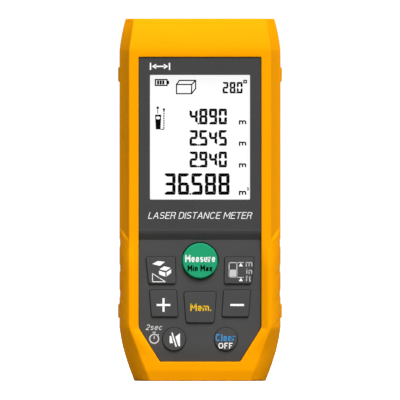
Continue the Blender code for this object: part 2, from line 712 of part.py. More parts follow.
def optics_parts():
    x, y = RECEIVER_X, OPTIC_Y
    barrel = rod_z("laser_barrel", LASER_X, y, 4.0, 101.2, 121.4, 20, "brass")
    cut(barrel, rod_z("bore", LASER_X, y, 2.6, 90, 130, 16))
    diode = turned_z("laser_diode", LASER_X, y, [(99.3, 2.8), (100.6, 2.8), (100.6, 2.1), (104.0, 2.1)], 16, "brass")
    for k in range(3):
        a = 2 * math.pi * k / 3 + 0.5
        join(diode, rod_z("pin", LASER_X + 1.3 * math.cos(a), y + 1.3 * math.sin(a), 0.25, 95.0, 100.0, 6))
    lens = turned_z("collimator_lens", LASER_X, y, [(117.6, 2.2), (119.0, 2.2), (119.5, 1.5), (119.7, 0.6)], 16, "lens_glass")
    dome = [(118.3, 8.0), (119.8, 8.0)] + [(119.8 + 1.9 * math.sin(math.radians(a)), 8.0 * math.cos(math.radians(a))) for a in (25, 50, 72)]
    receiver = turned_z("receiver_lens", x, y, dome, 24, "lens_glass")
    filt = rod_z("optical_filter", x, y, 2.5, 86.6, 87.6, 16, "lens_glass")
    photo = turned_z("photodiode", x, y, [(81.5, 2.6), (82.2, 2.6), (82.2, 2.2), (83.9, 2.2)], 16, "brass")
    board = block("receiver_board", (x - 7.0, x + 7.0), (-4.2, 6.8), (80.0, 81.2), "board_green")
    cable = bent_strip("optics_cable", [(-2.6, 79.5), (-4.6, 79.4), (-6.2, 78.6), (-7.1, 77.0), (-7.4, 75.0), (-7.45, 66.0)], 7.2, 9.8, 0.25, "flex_film")
    return [barrel, diode, lens, receiver, filt, photo, board, cable]


def optics_bezel():
    """The black end plate: an inner flange that the case halves trap, and a face with both apertures."""
    flange = [(-19.4, -8.0), (19.4, -8.0), (19.4, 12.0), (-19.4, 12.0)]
    face = [(-17.7, -6.7), (17.7, -6.7), (17.7, 10.7), (-17.7, 10.7)]
    rings = [[(x, y, z) for x, y in rounded(flange, [2.6] * 4, 2)] for z in (122.5, 123.3)]
    rings += [[(x, y, z) for x, y in rounded(face, [2.1] * 4, 2, d)] for z, d in ((123.3, 0), (126.1, 0), (126.4, 0.3))]
    obj = stack("optics_bezel", rings, "case_plastic")
    cut(
        obj,
        rod_z("receiver_hole", RECEIVER_X, OPTIC_Y, 7.6, 120, 130, 28),
        rod_z("laser_hole", LASER_X, OPTIC_Y, 3.2, 120, 130, 20),
    )
    return obj


def end_windows():
    return [
        rod_z("receiver_window", RECEIVER_X, OPTIC_Y, 7.3, 124.9, 126.0, 28, "lens_glass"),
        rod_z("laser_window", LASER_X, OPTIC_Y, 2.9, 124.9, 126.0, 18, "lens_glass"),
    ]


# ---------------------------------------------------------------- batteries and door
def cell(name, x, up):
    """A slim dry cell. Its cap end is at the top if up is true."""
    z0, z1 = (19.0, 63.5) if up else (14.9, 59.4)
    profile = [(0.0, 4.4), (0.25, 5.1), (0.5, CELL_R), (43.2, CELL_R), (43.5, 5.0), (43.7, 4.0), (43.7, 1.9), (44.5, 1.7)]
    if up:
        prof = [(z0 + z, r) for z, r in profile]
    else:
        prof = [(z1 - z, r) for z, r in reversed(profile)]
    return turned_z(name, x, CELL_Y, prof, 20, "cell_wrap")


def coil(name, x, z0, z1, flip):
    """A conical contact spring: wide at the contact plate, narrow at the cell."""
    turns, per, sides, wire = 3.25, 10, 6, 0.32
    count = int(turns * per)
    rings = []
    for k in range(count + 1):
        t = k / count
        a = 2 * math.pi * turns * t
        r = 3.4 - 1.3 * t
        z = (z0 + wire) + (z1 - z0 - 2 * wire) * min(1.0, max(0.0, (t * turns - 0.5) / (turns - 1.0)))
        if flip:
            z = z0 + z1 - z
        centre = Vector((x + r * math.cos(a), CELL_Y + r * math.sin(a), z))
        out = Vector((math.cos(a), math.sin(a), 0))
        up = Vector((0, 0, 1))
        rings.append([tuple(centre + wire * (math.cos(2 * math.pi * s / sides) * out + math.sin(2 * math.pi * s / sides) * up)) for s in range(sides)])
    return stack(name, rings, "steel")


def battery_parts():
    hw, floor, z0, z1 = BAY
    return [
        cell("battery_left", -CELL_X, True),
        cell("battery_right", CELL_X, False),
        coil("battery_spring_left", -CELL_X, 14.9, 18.7, False),
        coil("battery_spring_right", CELL_X, 59.7, 63.5, True),
        block("upper_contact_strip", (-10.6, 10.6), (3.6, 13.0), (z1 - 0.7, z1 - 0.3), "steel"),
        block("lower_contact_left", (-10.4, -1.2), (3.6, 13.0), (z0 + 0.3, z0 + 0.7), "steel"),
        block("lower_contact_right", (1.2, 10.4), (3.6, 13.0), (z0 + 0.3, z0 + 0.7), "steel"),
    ]


def battery_door():
    y, z = HINGE
    plate = block("battery_door", (-DOOR_HALF, DOOR_HALF), (14.7, 16.2), (z, DOOR_TOP), "case_plastic")
    barrel = along_x("barrel", lambda d: circle(y, z, HINGE_R - 0.01, 20), [(-DOOR_HALF + 0.05, 0), (DOOR_HALF - 0.05, 0)])
    pin = along_x("pin", lambda d: circle(y, z, PIN_R, 12), [(-14.7, 0), (14.7, 0)])
    tab = along_y("tab", lambda d: rounded(box_ctrl(-5.0, 5.0, DOOR_TOP - 1.0, DOOR_TOP + 1.5), [0, 0, 0.9, 0.9], 2, d), [(15.0, 0), (15.9, 0)])
    join(plate, barrel, pin, tab)
    for k in range(3):  # ribs for the thumb, cut into the face so that nothing stands above it
        cut(plate, block("rib", (-5.0, 5.0), (15.8, 17.0), (57.0 + 2.2 * k, 58.0 + 2.2 * k)))
    return plate


def door_gasket():
    outer = box_ctrl(-12.95, 12.95, 12.75, 65.65)
    inner = box_ctrl(-11.95, 11.95, 13.6, 64.8)
    obj = along_y("door_gasket", lambda d: rounded(outer, [1.2] * 4, 2, d), [(14.0, 0), (14.4, 0)], "gasket_rubber")
    return cut(obj, along_y("in", lambda d: rounded(inner, [0.6] * 4, 2, d), [(13, 0), (15, 0)]))


def tripod_insert():
    obj = turned_y("tripod_insert", 0, TRIPOD_Z, [(9.4, 4.5), (15.1, 4.5), (15.1, 4.5), (15.9, 4.5), (16.2, 4.3)], 24, "brass")
    return cut(obj, rod_y("thread", 0, TRIPOD_Z, TRIPOD_R, 10.2, 20, 24))


# ---------------------------------------------------------------- assembly
def set_origin(obj, point):
    """Moves an object's origin without moving its shape."""
    to = Vector(point) * MM
    obj.data.transform(Matrix.Translation(-to))
    obj.location = to


def centre_of(obj):
    lo = [min(v.co[k] for v in obj.data.vertices) for k in range(3)]
    hi = [max(v.co[k] for v in obj.data.vertices) for k in range(3)]
    return [(a + b) / 2 / MM for a, b in zip(lo, hi)]


def empty(name, point, parent=None):
    obj = bpy.data.objects.new(name, None)
    obj.empty_display_size = 0.01
    bpy.context.scene.collection.objects.link(obj)
    obj.location = Vector(point) * MM
    if parent:
        obj.parent = parent
        obj.matrix_parent_inverse = Matrix.Translation(-parent.location)
    return obj


def attach(obj, parent):
    bpy.context.view_layer.update()
    obj.parent = parent
    obj.matrix_parent_inverse = parent.matrix_world.inverted()


def main():
    clear_scene()
    root = empty("meter", (0, 0, 0))
    fixed = [front_bumper(), rear_bumper(), front_case(), rear_case(), case_gasket(),
             display_bezel(), display_window(), keypad_cover(), key_mat(), dome_sheet(),
             main_board(), optics_chassis(), optics_bezel(), tripod_insert()]
    fixed += display_parts() + board_parts() + optics_parts() + end_windows() + battery_parts()
    for label, (x, z) in CASE_SCREWS.items():
        for side, word in ((-1, "left"), (1, "right")):
            fixed.append(screw(f"case_screw_{label}_{word}", side * x, z, 5.3, 7.0, 2.0, 1.15, -7.9))
    for label, (x, z) in BOARD_SCREWS.items():
        for side, word in ((-1, "left"), (1, "right")):
            fixed.append(screw(f"board_screw_{label}_{word}", side * x, z, -7.6, -6.4, 1.8, 0.85, -11.5))
    for side, word in ((-1, "left"), (1, "right")):
        fixed.append(screw(f"optics_screw_{word}", side * OPTIC_SCREW[0], OPTIC_SCREW[1], 4.7, 3.5, 1.8, 0.8, 11.4))
    for obj in fixed:
        set_origin(obj, centre_of(obj))
        attach(obj, root)
    for name in KEYS:
        obj = key(name)
        cx, cz = key_centre(name)
        set_origin(obj, (cx, KEY_FACE_Y, cz))
        attach(obj, root)
    door = battery_door()
    set_origin(door, (0, HINGE[0], HINGE[1]))
    attach(door, root)
    pad = block("door_pad", (-8.0, 8.0), (14.0, 14.4), (28.0, 50.0), "foam")
    for obj in (door_gasket(), pad):
        set_origin(obj, (0, HINGE[0], HINGE[1]))
        attach(obj, door)


main()
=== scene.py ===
"""The looks of a handheld laser distance meter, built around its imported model. Lengths are in millimetres."""

import json
import math

import bmesh
import bpy
from mathutils import Matrix, Vector


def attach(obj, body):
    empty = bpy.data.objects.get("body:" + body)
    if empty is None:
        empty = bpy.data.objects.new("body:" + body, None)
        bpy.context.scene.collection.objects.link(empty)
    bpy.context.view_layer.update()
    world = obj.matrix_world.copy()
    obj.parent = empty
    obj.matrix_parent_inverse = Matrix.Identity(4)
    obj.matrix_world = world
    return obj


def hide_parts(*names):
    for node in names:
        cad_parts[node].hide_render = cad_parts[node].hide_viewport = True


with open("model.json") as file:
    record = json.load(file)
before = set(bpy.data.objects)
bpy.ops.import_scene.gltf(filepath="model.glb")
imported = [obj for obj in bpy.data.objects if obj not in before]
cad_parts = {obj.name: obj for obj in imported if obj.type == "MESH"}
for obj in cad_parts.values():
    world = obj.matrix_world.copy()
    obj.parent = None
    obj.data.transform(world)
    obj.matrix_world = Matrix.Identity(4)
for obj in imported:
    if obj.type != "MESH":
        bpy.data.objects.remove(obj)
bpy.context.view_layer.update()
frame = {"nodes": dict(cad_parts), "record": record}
MM = 0.001

# ---------------------------------------------------------------- dimensions, as in the CAD
LENGTH, HALF_WIDTH, PAD_HALF = 127.0, 28.22, 28.75
FRONT_Y, BACK_Y = -16.5, 16.5
FRONT_FLAT, BACK_FLAT = 24.85, 24.4
SIDE_Y0, SIDE_Y1 = -8.5, 8.0
FRONT_CREASE_Z, BASE_BEVEL_Z, BACK_SLOPE_Z, TOP_KINK_Z = 116.0, 3.75, 120.0, 115.8
BEZEL_Y, COVER_Y, CLAMP_Y, STEP_Z = -16.2, -15.1, -14.0, 49.6
DISPLAY = (17.5, 63.6, 107.2)
PADS = [(104.8, 110.2), (21.9, 27.1)]
HINGE_Y, HINGE_Z, DOOR_TOP, DOOR_HALF = 14.7, 10.6, 67.1, 13.4
TRIPOD_Z, OPTIC_Y, RECEIVER_X, LASER_X = 76.2, 2.2, 5.4, -9.6
CASE_SCREWS = [(16.6, 17.0), (18.0, 114.5)]


def smooth(t):
    t = max(0.0, min(1.0, t))
    return t * t * (3 - 2 * t)


def soft_min(a, b, r):
    """The lower of a and b, with the corner between them rounded over about r."""
    return 0.5 * (a + b - math.sqrt((a - b) ** 2 + r * r)) + 0.5 * r * 0.25


# ---------------------------------------------------------------- node materials
def new_material(name):
    mat = bpy.data.materials.new(name)
    mat.use_nodes = True
    nt = mat.node_tree
    nt.nodes.clear()
    out = nt.nodes.new("ShaderNodeOutputMaterial")
    bsdf = nt.nodes.new("ShaderNodeBsdfPrincipled")
    nt.links.new(bsdf.outputs[0], out.inputs[0])
    return mat, nt, bsdf


def mix_colour(nt, fac, a, b):
    node = nt.nodes.new("ShaderNodeMix")
    node.data_type = "RGBA"
    nt.links.new(fac, node.inputs[0])
    node.inputs[6].default_value = (*a, 1)
    node.inputs[7].default_value = (*b, 1)
    return node.outputs[2]


def map_range(nt, value, a0, a1, b0, b1):
    node = nt.nodes.new("ShaderNodeMapRange")
    node.inputs[1].default_value, node.inputs[2].default_value = a0, a1
    node.inputs[3].default_value, node.inputs[4].default_value = b0, b1
    nt.links.new(value, node.inputs[0])
    return node.outputs[0]


def moulded(name, colour, rough, grain_mm=0.35, bump_mm=0.02, vary=0.06, rough_vary=0.08, spec=0.35,
            wear=0.0, wear_colour=None, metal=0.0, coat=0.0, sheen=0.0, painted_low_shade=None):
    """A moulded or cast surface: fine grain, slow colour and gloss variation, edges worn a little lighter, and
    optionally painted shade that darkens it below a given height.
    """
    mat, nt, bsdf = new_material(name)
    coord = nt.nodes.new("ShaderNodeTexCoord")
    slow = nt.nodes.new("ShaderNodeTexNoise")
    slow.inputs["Scale"].default_value = 1 / 0.018
    slow.inputs["Detail"].default_value = 4
    nt.links.new(coord.outputs["Object"], slow.inputs["Vector"])
    fine = nt.nodes.new("ShaderNodeTexNoise")
    fine.inputs["Scale"].default_value = 1 / (grain_mm * MM)
    fine.inputs["Detail"].default_value = 3
    fine.inputs["Roughness"].default_value = 0.6
    nt.links.new(coord.outputs["Object"], fine.inputs["Vector"])
    low = tuple(c * (1 - vary) for c in colour)
    high = tuple(min(1.0, c * (1 + vary)) for c in colour)
    fac = map_range(nt, slow.outputs["Fac"], 0.35, 0.65, 0, 1)
    col = mix_colour(nt, fac, low, high)
    if wear > 0:
        geo = nt.nodes.new("ShaderNodeNewGeometry")
        edge = map_range(nt, geo.outputs["Pointiness"], 0.515, 0.56, 0, wear)
        node = nt.nodes.new("ShaderNodeMix")
        node.data_type = "RGBA"
        nt.links.new(edge, node.inputs[0])
        nt.links.new(col, node.inputs[6])
        node.inputs[7].default_value = (*(wear_colour or high), 1)
        col = node.outputs[2]
    # painted shade: the colour is scaled down to factor below z0 and back to full above z1
    if painted_low_shade:
        z0, z1, factor = painted_low_shade
        axes = nt.nodes.new("ShaderNodeSeparateXYZ")
        nt.links.new(coord.outputs["Object"], axes.inputs[0])
        dim = map_range(nt, axes.outputs[2], z0 * MM, z1 * MM, factor, 1.0)
        scale = nt.nodes.new("ShaderNodeVectorMath")
        scale.operation = "SCALE"
        nt.links.new(col, scale.inputs[0])
        nt.links.new(dim, scale.inputs["Scale"])
        col = scale.outputs[0]
    nt.links.new(col, bsdf.inputs["Base Color"])
    nt.links.new(map_range(nt, fine.outputs["Fac"], 0.3, 0.7, rough - rough_vary, rough + rough_vary), bsdf.inputs["Roughness"])
    bump = nt.nodes.new("ShaderNodeBump")
    bump.inputs["Strength"].default_value = 0.6
    bump.inputs["Distance"].default_value = bump_mm * MM
    nt.links.new(fine.outputs["Fac"], bump.inputs["Height"])
    nt.links.new(bump.outputs[0], bsdf.inputs["Normal"])
    bsdf.inputs["Specular IOR Level"].default_value = spec
    bsdf.inputs["Metallic"].default_value = metal
    bsdf.inputs["Coat Weight"].default_value = coat
    bsdf.inputs["Coat Roughness"].default_value = 0.15
    bsdf.inputs["Sheen Weight"].default_value = sheen
    return mat


def turned_metal(name, colour, rough, ring_mm=0.12):
    """Machined metal: fine tool rings and uneven gloss."""
    mat, nt, bsdf = new_material(name)
    coord = nt.nodes.new("ShaderNodeTexCoord")
    wave = nt.nodes.new("ShaderNodeTexNoise")
    stretch = nt.nodes.new("ShaderNodeMapping")
    stretch.inputs["Scale"].default_value = (1 / (ring_mm * MM), 1 / (ring_mm * 12 * MM), 1 / (ring_mm * MM))
    nt.links.new(coord.outputs["Object"], stretch.inputs["Vector"])
    wave.inputs["Scale"].default_value = 1.0
    wave.inputs["Detail"].default_value = 2
    nt.links.new(stretch.outputs[0], wave.inputs["Vector"])
    col = mix_colour(nt, wave.outputs["Fac"], tuple(c * 0.86 for c in colour), tuple(min(1, c * 1.08) for c in colour))
    nt.links.new(col, bsdf.inputs["Base Color"])
    nt.links.new(map_range(nt, wave.outputs["Fac"], 0.2, 0.8, rough * 0.7, rough * 1.3), bsdf.inputs["Roughness"])
    bump = nt.nodes.new("ShaderNodeBump")
    bump.inputs["Strength"].default_value = 0.35
    bump.inputs["Distance"].default_value = 0.01 * MM
    nt.links.new(wave.outputs["Fac"], bump.inputs["Height"])
    nt.links.new(bump.outputs[0], bsdf.inputs["Normal"])
    bsdf.inputs["Metallic"].default_value = 1.0
    return mat


def glassy(name, tint, alpha, rough=0.03, coat_tint=None, spec=0.5):
    """A thin clear sheet: mostly see-through, with its gloss left on top."""
    mat, nt, bsdf = new_material(name)
    layer = nt.nodes.new("ShaderNodeLayerWeight")
    layer.inputs[0].default_value = 0.25
    if coat_tint:
        nt.links.new(mix_colour(nt, layer.outputs["Facing"], tint, coat_tint), bsdf.inputs["Base Color"])
    else:
        coord = nt.nodes.new("ShaderNodeTexCoord")
        slow = nt.nodes.new("ShaderNodeTexNoise")
        slow.inputs["Scale"].default_value = 60
        nt.links.new(coord.outputs["Object"], slow.inputs["Vector"])
        nt.links.new(mix_colour(nt, slow.outputs["Fac"], tuple(c * 0.97 for c in tint), tint), bsdf.inputs["Base Color"])
    smudge = nt.nodes.new("ShaderNodeTexNoise")
    smudge.inputs["Scale"].default_value = 180
    nt.links.new(map_range(nt, smudge.outputs["Fac"], 0.3, 0.7, rough, rough + 0.04), bsdf.inputs["Roughness"])
    nt.links.new(map_range(nt, layer.outputs["Facing"], 0.0, 1.0, alpha, min(1.0, alpha + 0.35)), bsdf.inputs["Alpha"])
    bsdf.inputs["IOR"].default_value = 1.45
    bsdf.inputs["Specular IOR Level"].default_value = spec
    return mat


def printed(name, colour, rough=0.45, glow=0.0, spec=0.3):
    """Screen-printed ink: slightly uneven coverage."""
    mat, nt, bsdf = new_material(name)
    coord = nt.nodes.new("ShaderNodeTexCoord")
    fine = nt.nodes.new("ShaderNodeTexNoise")
    fine.inputs["Scale"].default_value = 1 / (0.22 * MM)
    nt.links.new(coord.outputs["Object"], fine.inputs["Vector"])
    col = mix_colour(nt, fine.outputs["Fac"], tuple(c * 0.93 for c in colour), colour)
    nt.links.new(col, bsdf.inputs["Base Color"])
    nt.links.new(map_range(nt, fine.outputs["Fac"], 0.3, 0.7, rough - 0.05, rough + 0.05), bsdf.inputs["Roughness"])
    bsdf.inputs["Specular IOR Level"].default_value = spec
    # glow makes the colour give off light of its own: the display's backlight, and painted glow on white print
    if glow > 0:
        nt.links.new(col, bsdf.inputs["Emission Color"])
        bsdf.inputs["Emission Strength"].default_value = glow
    return mat


AMBIENT = 0.27
YELLOW = (0.97, 0.36, 0.0)
M = {
    "bumper": moulded("bumper_elastomer", YELLOW, 0.62, 0.45, 0.016, 0.015, 0.06, 0.02),
    "case": moulded("case_plastic", (0.045, 0.045, 0.047), 0.52, 0.3, 0.02, 0.08, 0.07, 0.3, wear=0.25, wear_colour=(0.09, 0.09, 0.092)),
    "panel": moulded("panel_plastic", (0.051, 0.051, 0.051), 0.5, 0.25, 0.01, 0.04, 0.05, 0.2),
    # the keypad plate's lower end gets painted shade, darker below 9 to 13 mm in place of a slight tilt
    "cover": moulded("keypad_plastic", (0.064, 0.064, 0.064), 0.52, 0.25, 0.01, 0.04, 0.05, 0.2, painted_low_shade=(9.0, 13.0, 0.84)),
    "key": moulded("key_silicone", (0.0645, 0.0645, 0.0645), 0.6, 0.3, 0.008, 0.04, 0.05, 0.15),
    "green": moulded("key_green", (0.014, 0.345, 0.157), 0.55, 0.3, 0.008, 0.03, 0.05, 0.12),
    "gasket": moulded("gasket_rubber", (0.02, 0.02, 0.02), 0.8, 0.4, 0.02),
    "foam": moulded("door_foam", (0.06, 0.06, 0.062), 0.95, 0.5, 0.15, 0.2),
    "white": moulded("white_plastic", (0.82, 0.82, 0.8), 0.45, 0.3, 0.01, 0.03),
    "board": moulded("solder_mask", (0.012, 0.12, 0.05), 0.4, 0.5, 0.02, 0.25, coat=0.4),
    "chip": moulded("chip_epoxy", (0.022, 0.022, 0.024), 0.5, 0.2, 0.02),
    "alloy": moulded("cast_alloy", (0.45, 0.46, 0.48), 0.45, 0.3, 0.03, 0.08, metal=1.0),
    "wrap": moulded("cell_wrap", (0.07, 0.12, 0.21), 0.32, 1.5, 0.02, 0.1, coat=0.5),
    "flex": moulded("flex_film", (0.6, 0.3, 0.07), 0.35, 0.4, 0.01, 0.1, coat=0.3),
    "steel": turned_metal("plated_steel", (0.66, 0.66, 0.67), 0.28),
    "brass": turned_metal("turned_brass", (0.8, 0.6, 0.27), 0.26),
    "clear": glassy("display_acrylic", (0.12, 0.125, 0.13), 0.006, spec=0.06),
    "lens": glassy("coated_lens", (0.022, 0.008, 0.035), 0.72, 0.02, coat_tint=(0.02, 0.1, 0.06), spec=0.7),
    "filter": glassy("window_red", (0.075, 0.003, 0.006), 0.8, 0.015, spec=0.15),
    # the display glows as its backlight, turned up so that no shade from the bezel shows on it: backlight and painted
    # light together
    "lcd": printed("lcd_backlight_glow", (0.12, 0.12, 0.12), 0.6, glow=8.0),
    "ink_black": printed("lcd_segment", (0.001, 0.001, 0.001), 0.7, spec=0.03),
    # white print with a faint painted glow that lifts it above its lit brightness
    "ink_white_painted_glow": printed("ink_white_painted_glow", (0.9, 0.9, 0.9), 0.5, glow=0.1),
    "ink_grey": printed("ink_grey", (0.60, 0.60, 0.60), 0.5),
    "ink_yellow": printed("ink_yellow", (0.93, 0.56, 0.004), 0.5),
    "ink_blue": printed("ink_blue", (0.045, 0.30, 0.66), 0.5),
    "ink_dark": printed("ink_dark", (0.05, 0.05, 0.05), 0.5),
}
NODE_LOOKS = {
    "gasket_rubber": "gasket", "foam": "foam", "white_plastic": "white", "board_green": "board", "chip_black": "chip",
    "alloy": "alloy", "cell_wrap": "wrap", "flex_film": "flex", "steel": "steel", "brass": "brass", "clear_plastic": "clear",
    "lens_glass": "lens", "case_plastic": "case", "panel_plastic": "panel", "key_rubber": "key", "key_green": "green", "bumper": "bumper",
}
for part in frame["record"]["subparts"]:
    node = frame["nodes"][part["node"]]
    node.data.materials.clear()
    node.data.materials.append(M[NODE_LOOKS[part["material_slot"]]])


# ---------------------------------------------------------------- mesh helpers
def make(name, points, faces, mat, angle=35, body="housing", slot=None):
    mesh = bpy.data.meshes.new(name)
    mesh.from_pydata([(x * MM, y * MM, z * MM) for x, y, z in points], [], faces)
    bm = bmesh.new()
    bm.from_mesh(mesh)
    bmesh.ops.recalc_face_normals(bm, faces=bm.faces)
    bm.to_mesh(mesh)
    bm.free()
    obj = bpy.data.objects.new(name, mesh)
    bpy.context.scene.collection.objects.link(obj)
    mesh.materials.append(mat)
    shade(obj, angle)
    return obj


def shade(obj, angle=35):
    obj.data.shade_smooth()
    obj.data.set_sharp_from_angle(angle=math.radians(angle))


def level(obj, angle=35):
    """Keeps broad flat faces flat-shaded next to their small roundings."""
    shade(obj, angle)
    mod = obj.modifiers.new("level", "WEIGHTED_NORMAL")
    mod.keep_sharp = True
    mod.weight = 100
    bpy.context.view_layer.update()
    graph = bpy.context.evaluated_depsgraph_get()
    mesh = bpy.data.meshes.new_from_object(obj.evaluated_get(graph))
    obj.modifiers.clear()
    obj.data = mesh
    return obj


def place(obj, body="housing", slot=None, *nodes):
    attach(obj, body)
    if nodes:
        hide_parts(*nodes)
    return obj


def loop_mesh(name, rings, mat, closed=False, angle=35):
    """Rings of points joined in order. Closed joins the last to the first, otherwise both ends are capped."""
    n = len(rings[0])
    points = [p for ring in rings for p in ring]
    faces = []
    count = len(rings)
    for k in range(count if closed else count - 1):
        a, b = k * n, ((k + 1) % count) * n
        for i in range(n):
            j = (i + 1) % n
            faces.append((a + i, a + j, b + j, b + i))
    if not closed:
        faces.append(tuple(range(n - 1, -1, -1)))
        faces.append(tuple((count - 1) * n + i for i in range(n)))
    return make(name, points, faces, mat, angle)


def offset(ctrl, gaps):
    n = len(ctrl)
    lines = []
    for i in range(n):
        (ax, ay), (bx, by) = ctrl[i], ctrl[(i + 1) % n]
        dx, dy = bx - ax, by - ay
        size = math.hypot(dx, dy)
        nx, ny = -dy / size, dx / size
        lines.append((ax + nx * gaps[i], ay + ny * gaps[i], dx / size, dy / size))
    out = []
    for i in range(n):
        ax, ay, adx, ady = lines[i - 1]
        bx, by, bdx, bdy = lines[i]
        cross = adx * bdy - ady * bdx
        if abs(cross) < 1e-6:
            out.append((bx, by))
            continue
        t = ((bx - ax) * bdy - (by - ay) * bdx) / cross
        out.append((ax + adx * t, ay + ady * t))
    return out


def rounded(ctrl, radii, steps, inset=0.0):
    """A polygon with arcs for corners; inset moves every edge inwards and keeps the arcs' centres."""
    n = len(ctrl)
    moved = offset(ctrl, [inset] * n) if inset else ctrl
    out = []
    for i in range(n):
        px, py = moved[i - 1]
        cx, cy = moved[i]
        qx, qy = moved[(i + 1) % n]
        ax, ay = px - cx, py - cy
        bx, by = qx - cx, qy - cy
        la, lb = math.hypot(ax, ay), math.hypot(bx, by)
        ax, ay, bx, by = ax / la, ay / la, bx / lb, by / lb
        turn = math.pi - math.acos(max(-1.0, min(1.0, ax * bx + ay * by)))
        convex = (-ax) * by - (-ay) * bx > 0
        r = max(radii[i] - inset, 0.06) if convex else radii[i] + inset
        reach = min(r * math.tan(turn / 2), 0.48 * la, 0.48 * lb)
        r = reach / math.tan(turn / 2)
        sx, sy = cx + ax * reach, cy + ay * reach
        mx, my = ax + bx, ay + by
        ml = math.hypot(mx, my)
        to_centre = r / math.cos(turn / 2)
        ox, oy = cx + mx / ml * to_centre, cy + my / ml * to_centre
        start = math.atan2(sy - oy, sx - ox)
        sweep = turn if convex else -turn
        for k in range(steps + 1):
            a = start + sweep * k / steps
            out.append((ox + r * math.cos(a), oy + r * math.sin(a)))
    return out


def circle(cx, cy, r, n=64):
    return [(cx + r * math.cos(2 * math.pi * k / n), cy + r * math.sin(2 * math.pi * k / n)) for k in range(n)]


def box_ctrl(x0, x1, z0, z1):
    return [(x0, z0), (x1, z0), (x1, z1), (x0, z1)]


def panel_ctrl(half, inset=0.0):
    ctrl = list(half) + [(-x, z) for x, z in reversed(half)]
    return offset(ctrl, [inset] * len(ctrl)) if inset else ctrl


def edge_levels(y0, y1, r, steps=4, both=False):
    """Levels from y0 to y1 whose end at y1 is rounded over with radius r: (y, inset)."""
    sign = 1 if y1 > y0 else -1
    out = []
    if both:
        out += [(y0 + sign * r * (1 - math.cos(a)), r * (1 - math.sin(a))) for a in [math.pi / 2 * k / steps for k in range(steps + 1)]]
    else:
        out.append((y0, 0.0))
    out += [(y1 - sign * r * (1 - math.sin(a)), r * (1 - math.cos(a))) for a in [math.pi / 2 * k / steps for k in range(steps + 1)]]
    return out


def flared(y_deep, y_face, flare, over=1.0):
    """Cutter levels: straight from deep inside, then widening by flare as it leaves the face."""
    sign = 1 if y_face > y_deep else -1
    return [(y_deep, 0.0), (y_face - sign * flare, 0.0), (y_face - sign * flare * 0.35, -flare * 0.3), (y_face + sign * 0.001, -flare), (y_face + sign * over, -flare - over * 0.2)]


def along_y(name, outline, levels, mat, angle=35):
    return loop_mesh(name, [[(x, y, z) for x, z in outline(d)] for y, d in levels], mat, angle=angle)


def along_z(name, outline, levels, mat, angle=35):
    return loop_mesh(name, [[(x, y, z) for x, y in outline(d)] for z, d in levels], mat, angle=angle)


def along_x(name, outline, levels, mat, angle=35):
    return loop_mesh(name, [[(x, y, z) for y, z in outline(d)] for x, d in levels], mat, angle=angle)


def block(name, x, y, z, mat):
    return along_z(name, lambda d: [(x[0], y[0]), (x[1], y[0]), (x[1], y[1]), (x[0], y[1])], [(z[0], 0), (z[1], 0)], mat)


def rod_y(name, cx, cz, r, y0, y1, mat, n=48):
    return along_y(name, lambda d: circle(cx, cz, r - d, n), [(y0, 0), (y1, 0)], mat)


def combine(obj, other, operation, angle=35):
    mod = obj.modifiers.new("cut", "BOOLEAN")
    mod.operation = operation
    mod.solver = "EXACT"
    mod.object = other
    bpy.context.view_layer.update()
    graph = bpy.context.evaluated_depsgraph_get()
    mesh = bpy.data.meshes.new_from_object(obj.evaluated_get(graph))
    obj.modifiers.clear()
    obj.data = mesh
    bpy.data.objects.remove(other)
    return obj


def cut(obj, *others):
    for other in others:
        combine(obj, other, "DIFFERENCE")
    shade(obj)
    return obj


def join(obj, *others):
    for other in others:
        combine(obj, other, "UNION")
    shade(obj)
    return obj


# ---------------------------------------------------------------- the bumpers
def kink(t, r):
    """max(t, 0) with the corner rounded over about r."""
    return 0.5 * (t + math.sqrt(t * t + r * r))


def half_width(z):
    w = HALF_WIDTH
    if z < 19.0:
        w -= 5.2 * ((19.0 - z) / 19.0) ** 1.53
    t = kink(z - TOP_KINK_Z, 0.5)
    return w - 0.1 * t - 0.0083 * t * t


def flat_edge(z, front):
    f = FRONT_FLAT if front else BACK_FLAT
    f -= kink((7.25 if front else 6.6) * (18.7 - z) / 18.7, 0.2)
    return f - 0.155 * kink(z - TOP_KINK_Z, 0.5)


def face_depth(z, front):
    """How far the front or back face lies from the middle at z, as a positive number."""
    y = 16.5
    if front:
        t = z - FRONT_CREASE_Z
        t = kink(t, 0.2)
        y -= 0.2 * t + 0.02 * t * t
    elif z > BACK_SLOPE_Z:
        y -= 0.035 * (z - BACK_SLOPE_Z) ** 2
    return y - base_bevel(z)


def base_bevel(z):
    return 0.62 * (kink(BASE_BEVEL_Z - z, 0.07) / BASE_BEVEL_Z) ** 1.05


NOTCH_TOPS = (49.8, 41.0, 32.2, 23.4)


def z_stations():
    zs = set()

    def add(a, b, step):
        n = max(1, round((b - a) / step))
        for k in range(n + 1):
            zs.add(round(a + (b - a) * k / n, 3))

    add(0.4, 5.0, 0.35)
    add(5.0, 21.0, 0.6)
    add(21.0, 56.0, 0.8)
    add(53.2, 54.0, 0.1)
    add(50.3, 51.4, 0.12)
    for top in NOTCH_TOPS:
        wide = 1.3 if top < 25 else 2.5
        add(top - wide - 0.4, top - wide + 0.05, 0.11)
        add(top - 0.2, top + 0.2, 0.1)
    for z0, z1 in PADS:
        add(z0 - 0.15, z0 + 0.65, 0.16)
        add(z1 - 0.65, z1 + 0.15, 0.16)
    add(56.0, 104.0, 3.0)
    add(105.0, 115.0, 1.0)
    add(115.0, 117.4, 0.2)
    add(117.4, 126.6, 0.7)
    out = []
    for z in sorted(zs):
        if not out or z - out[-1] > 0.06:
            out.append(z)
    return out


STATIONS = z_stations()


def bezier(a, v, b, steps):
    out = []
    for k in range(steps + 1):
        t = k / steps
        out.append(tuple((1 - t) ** 2 * p + 2 * t * (1 - t) * q + t * t * r for p, q, r in zip(a, v, b)))
    return out


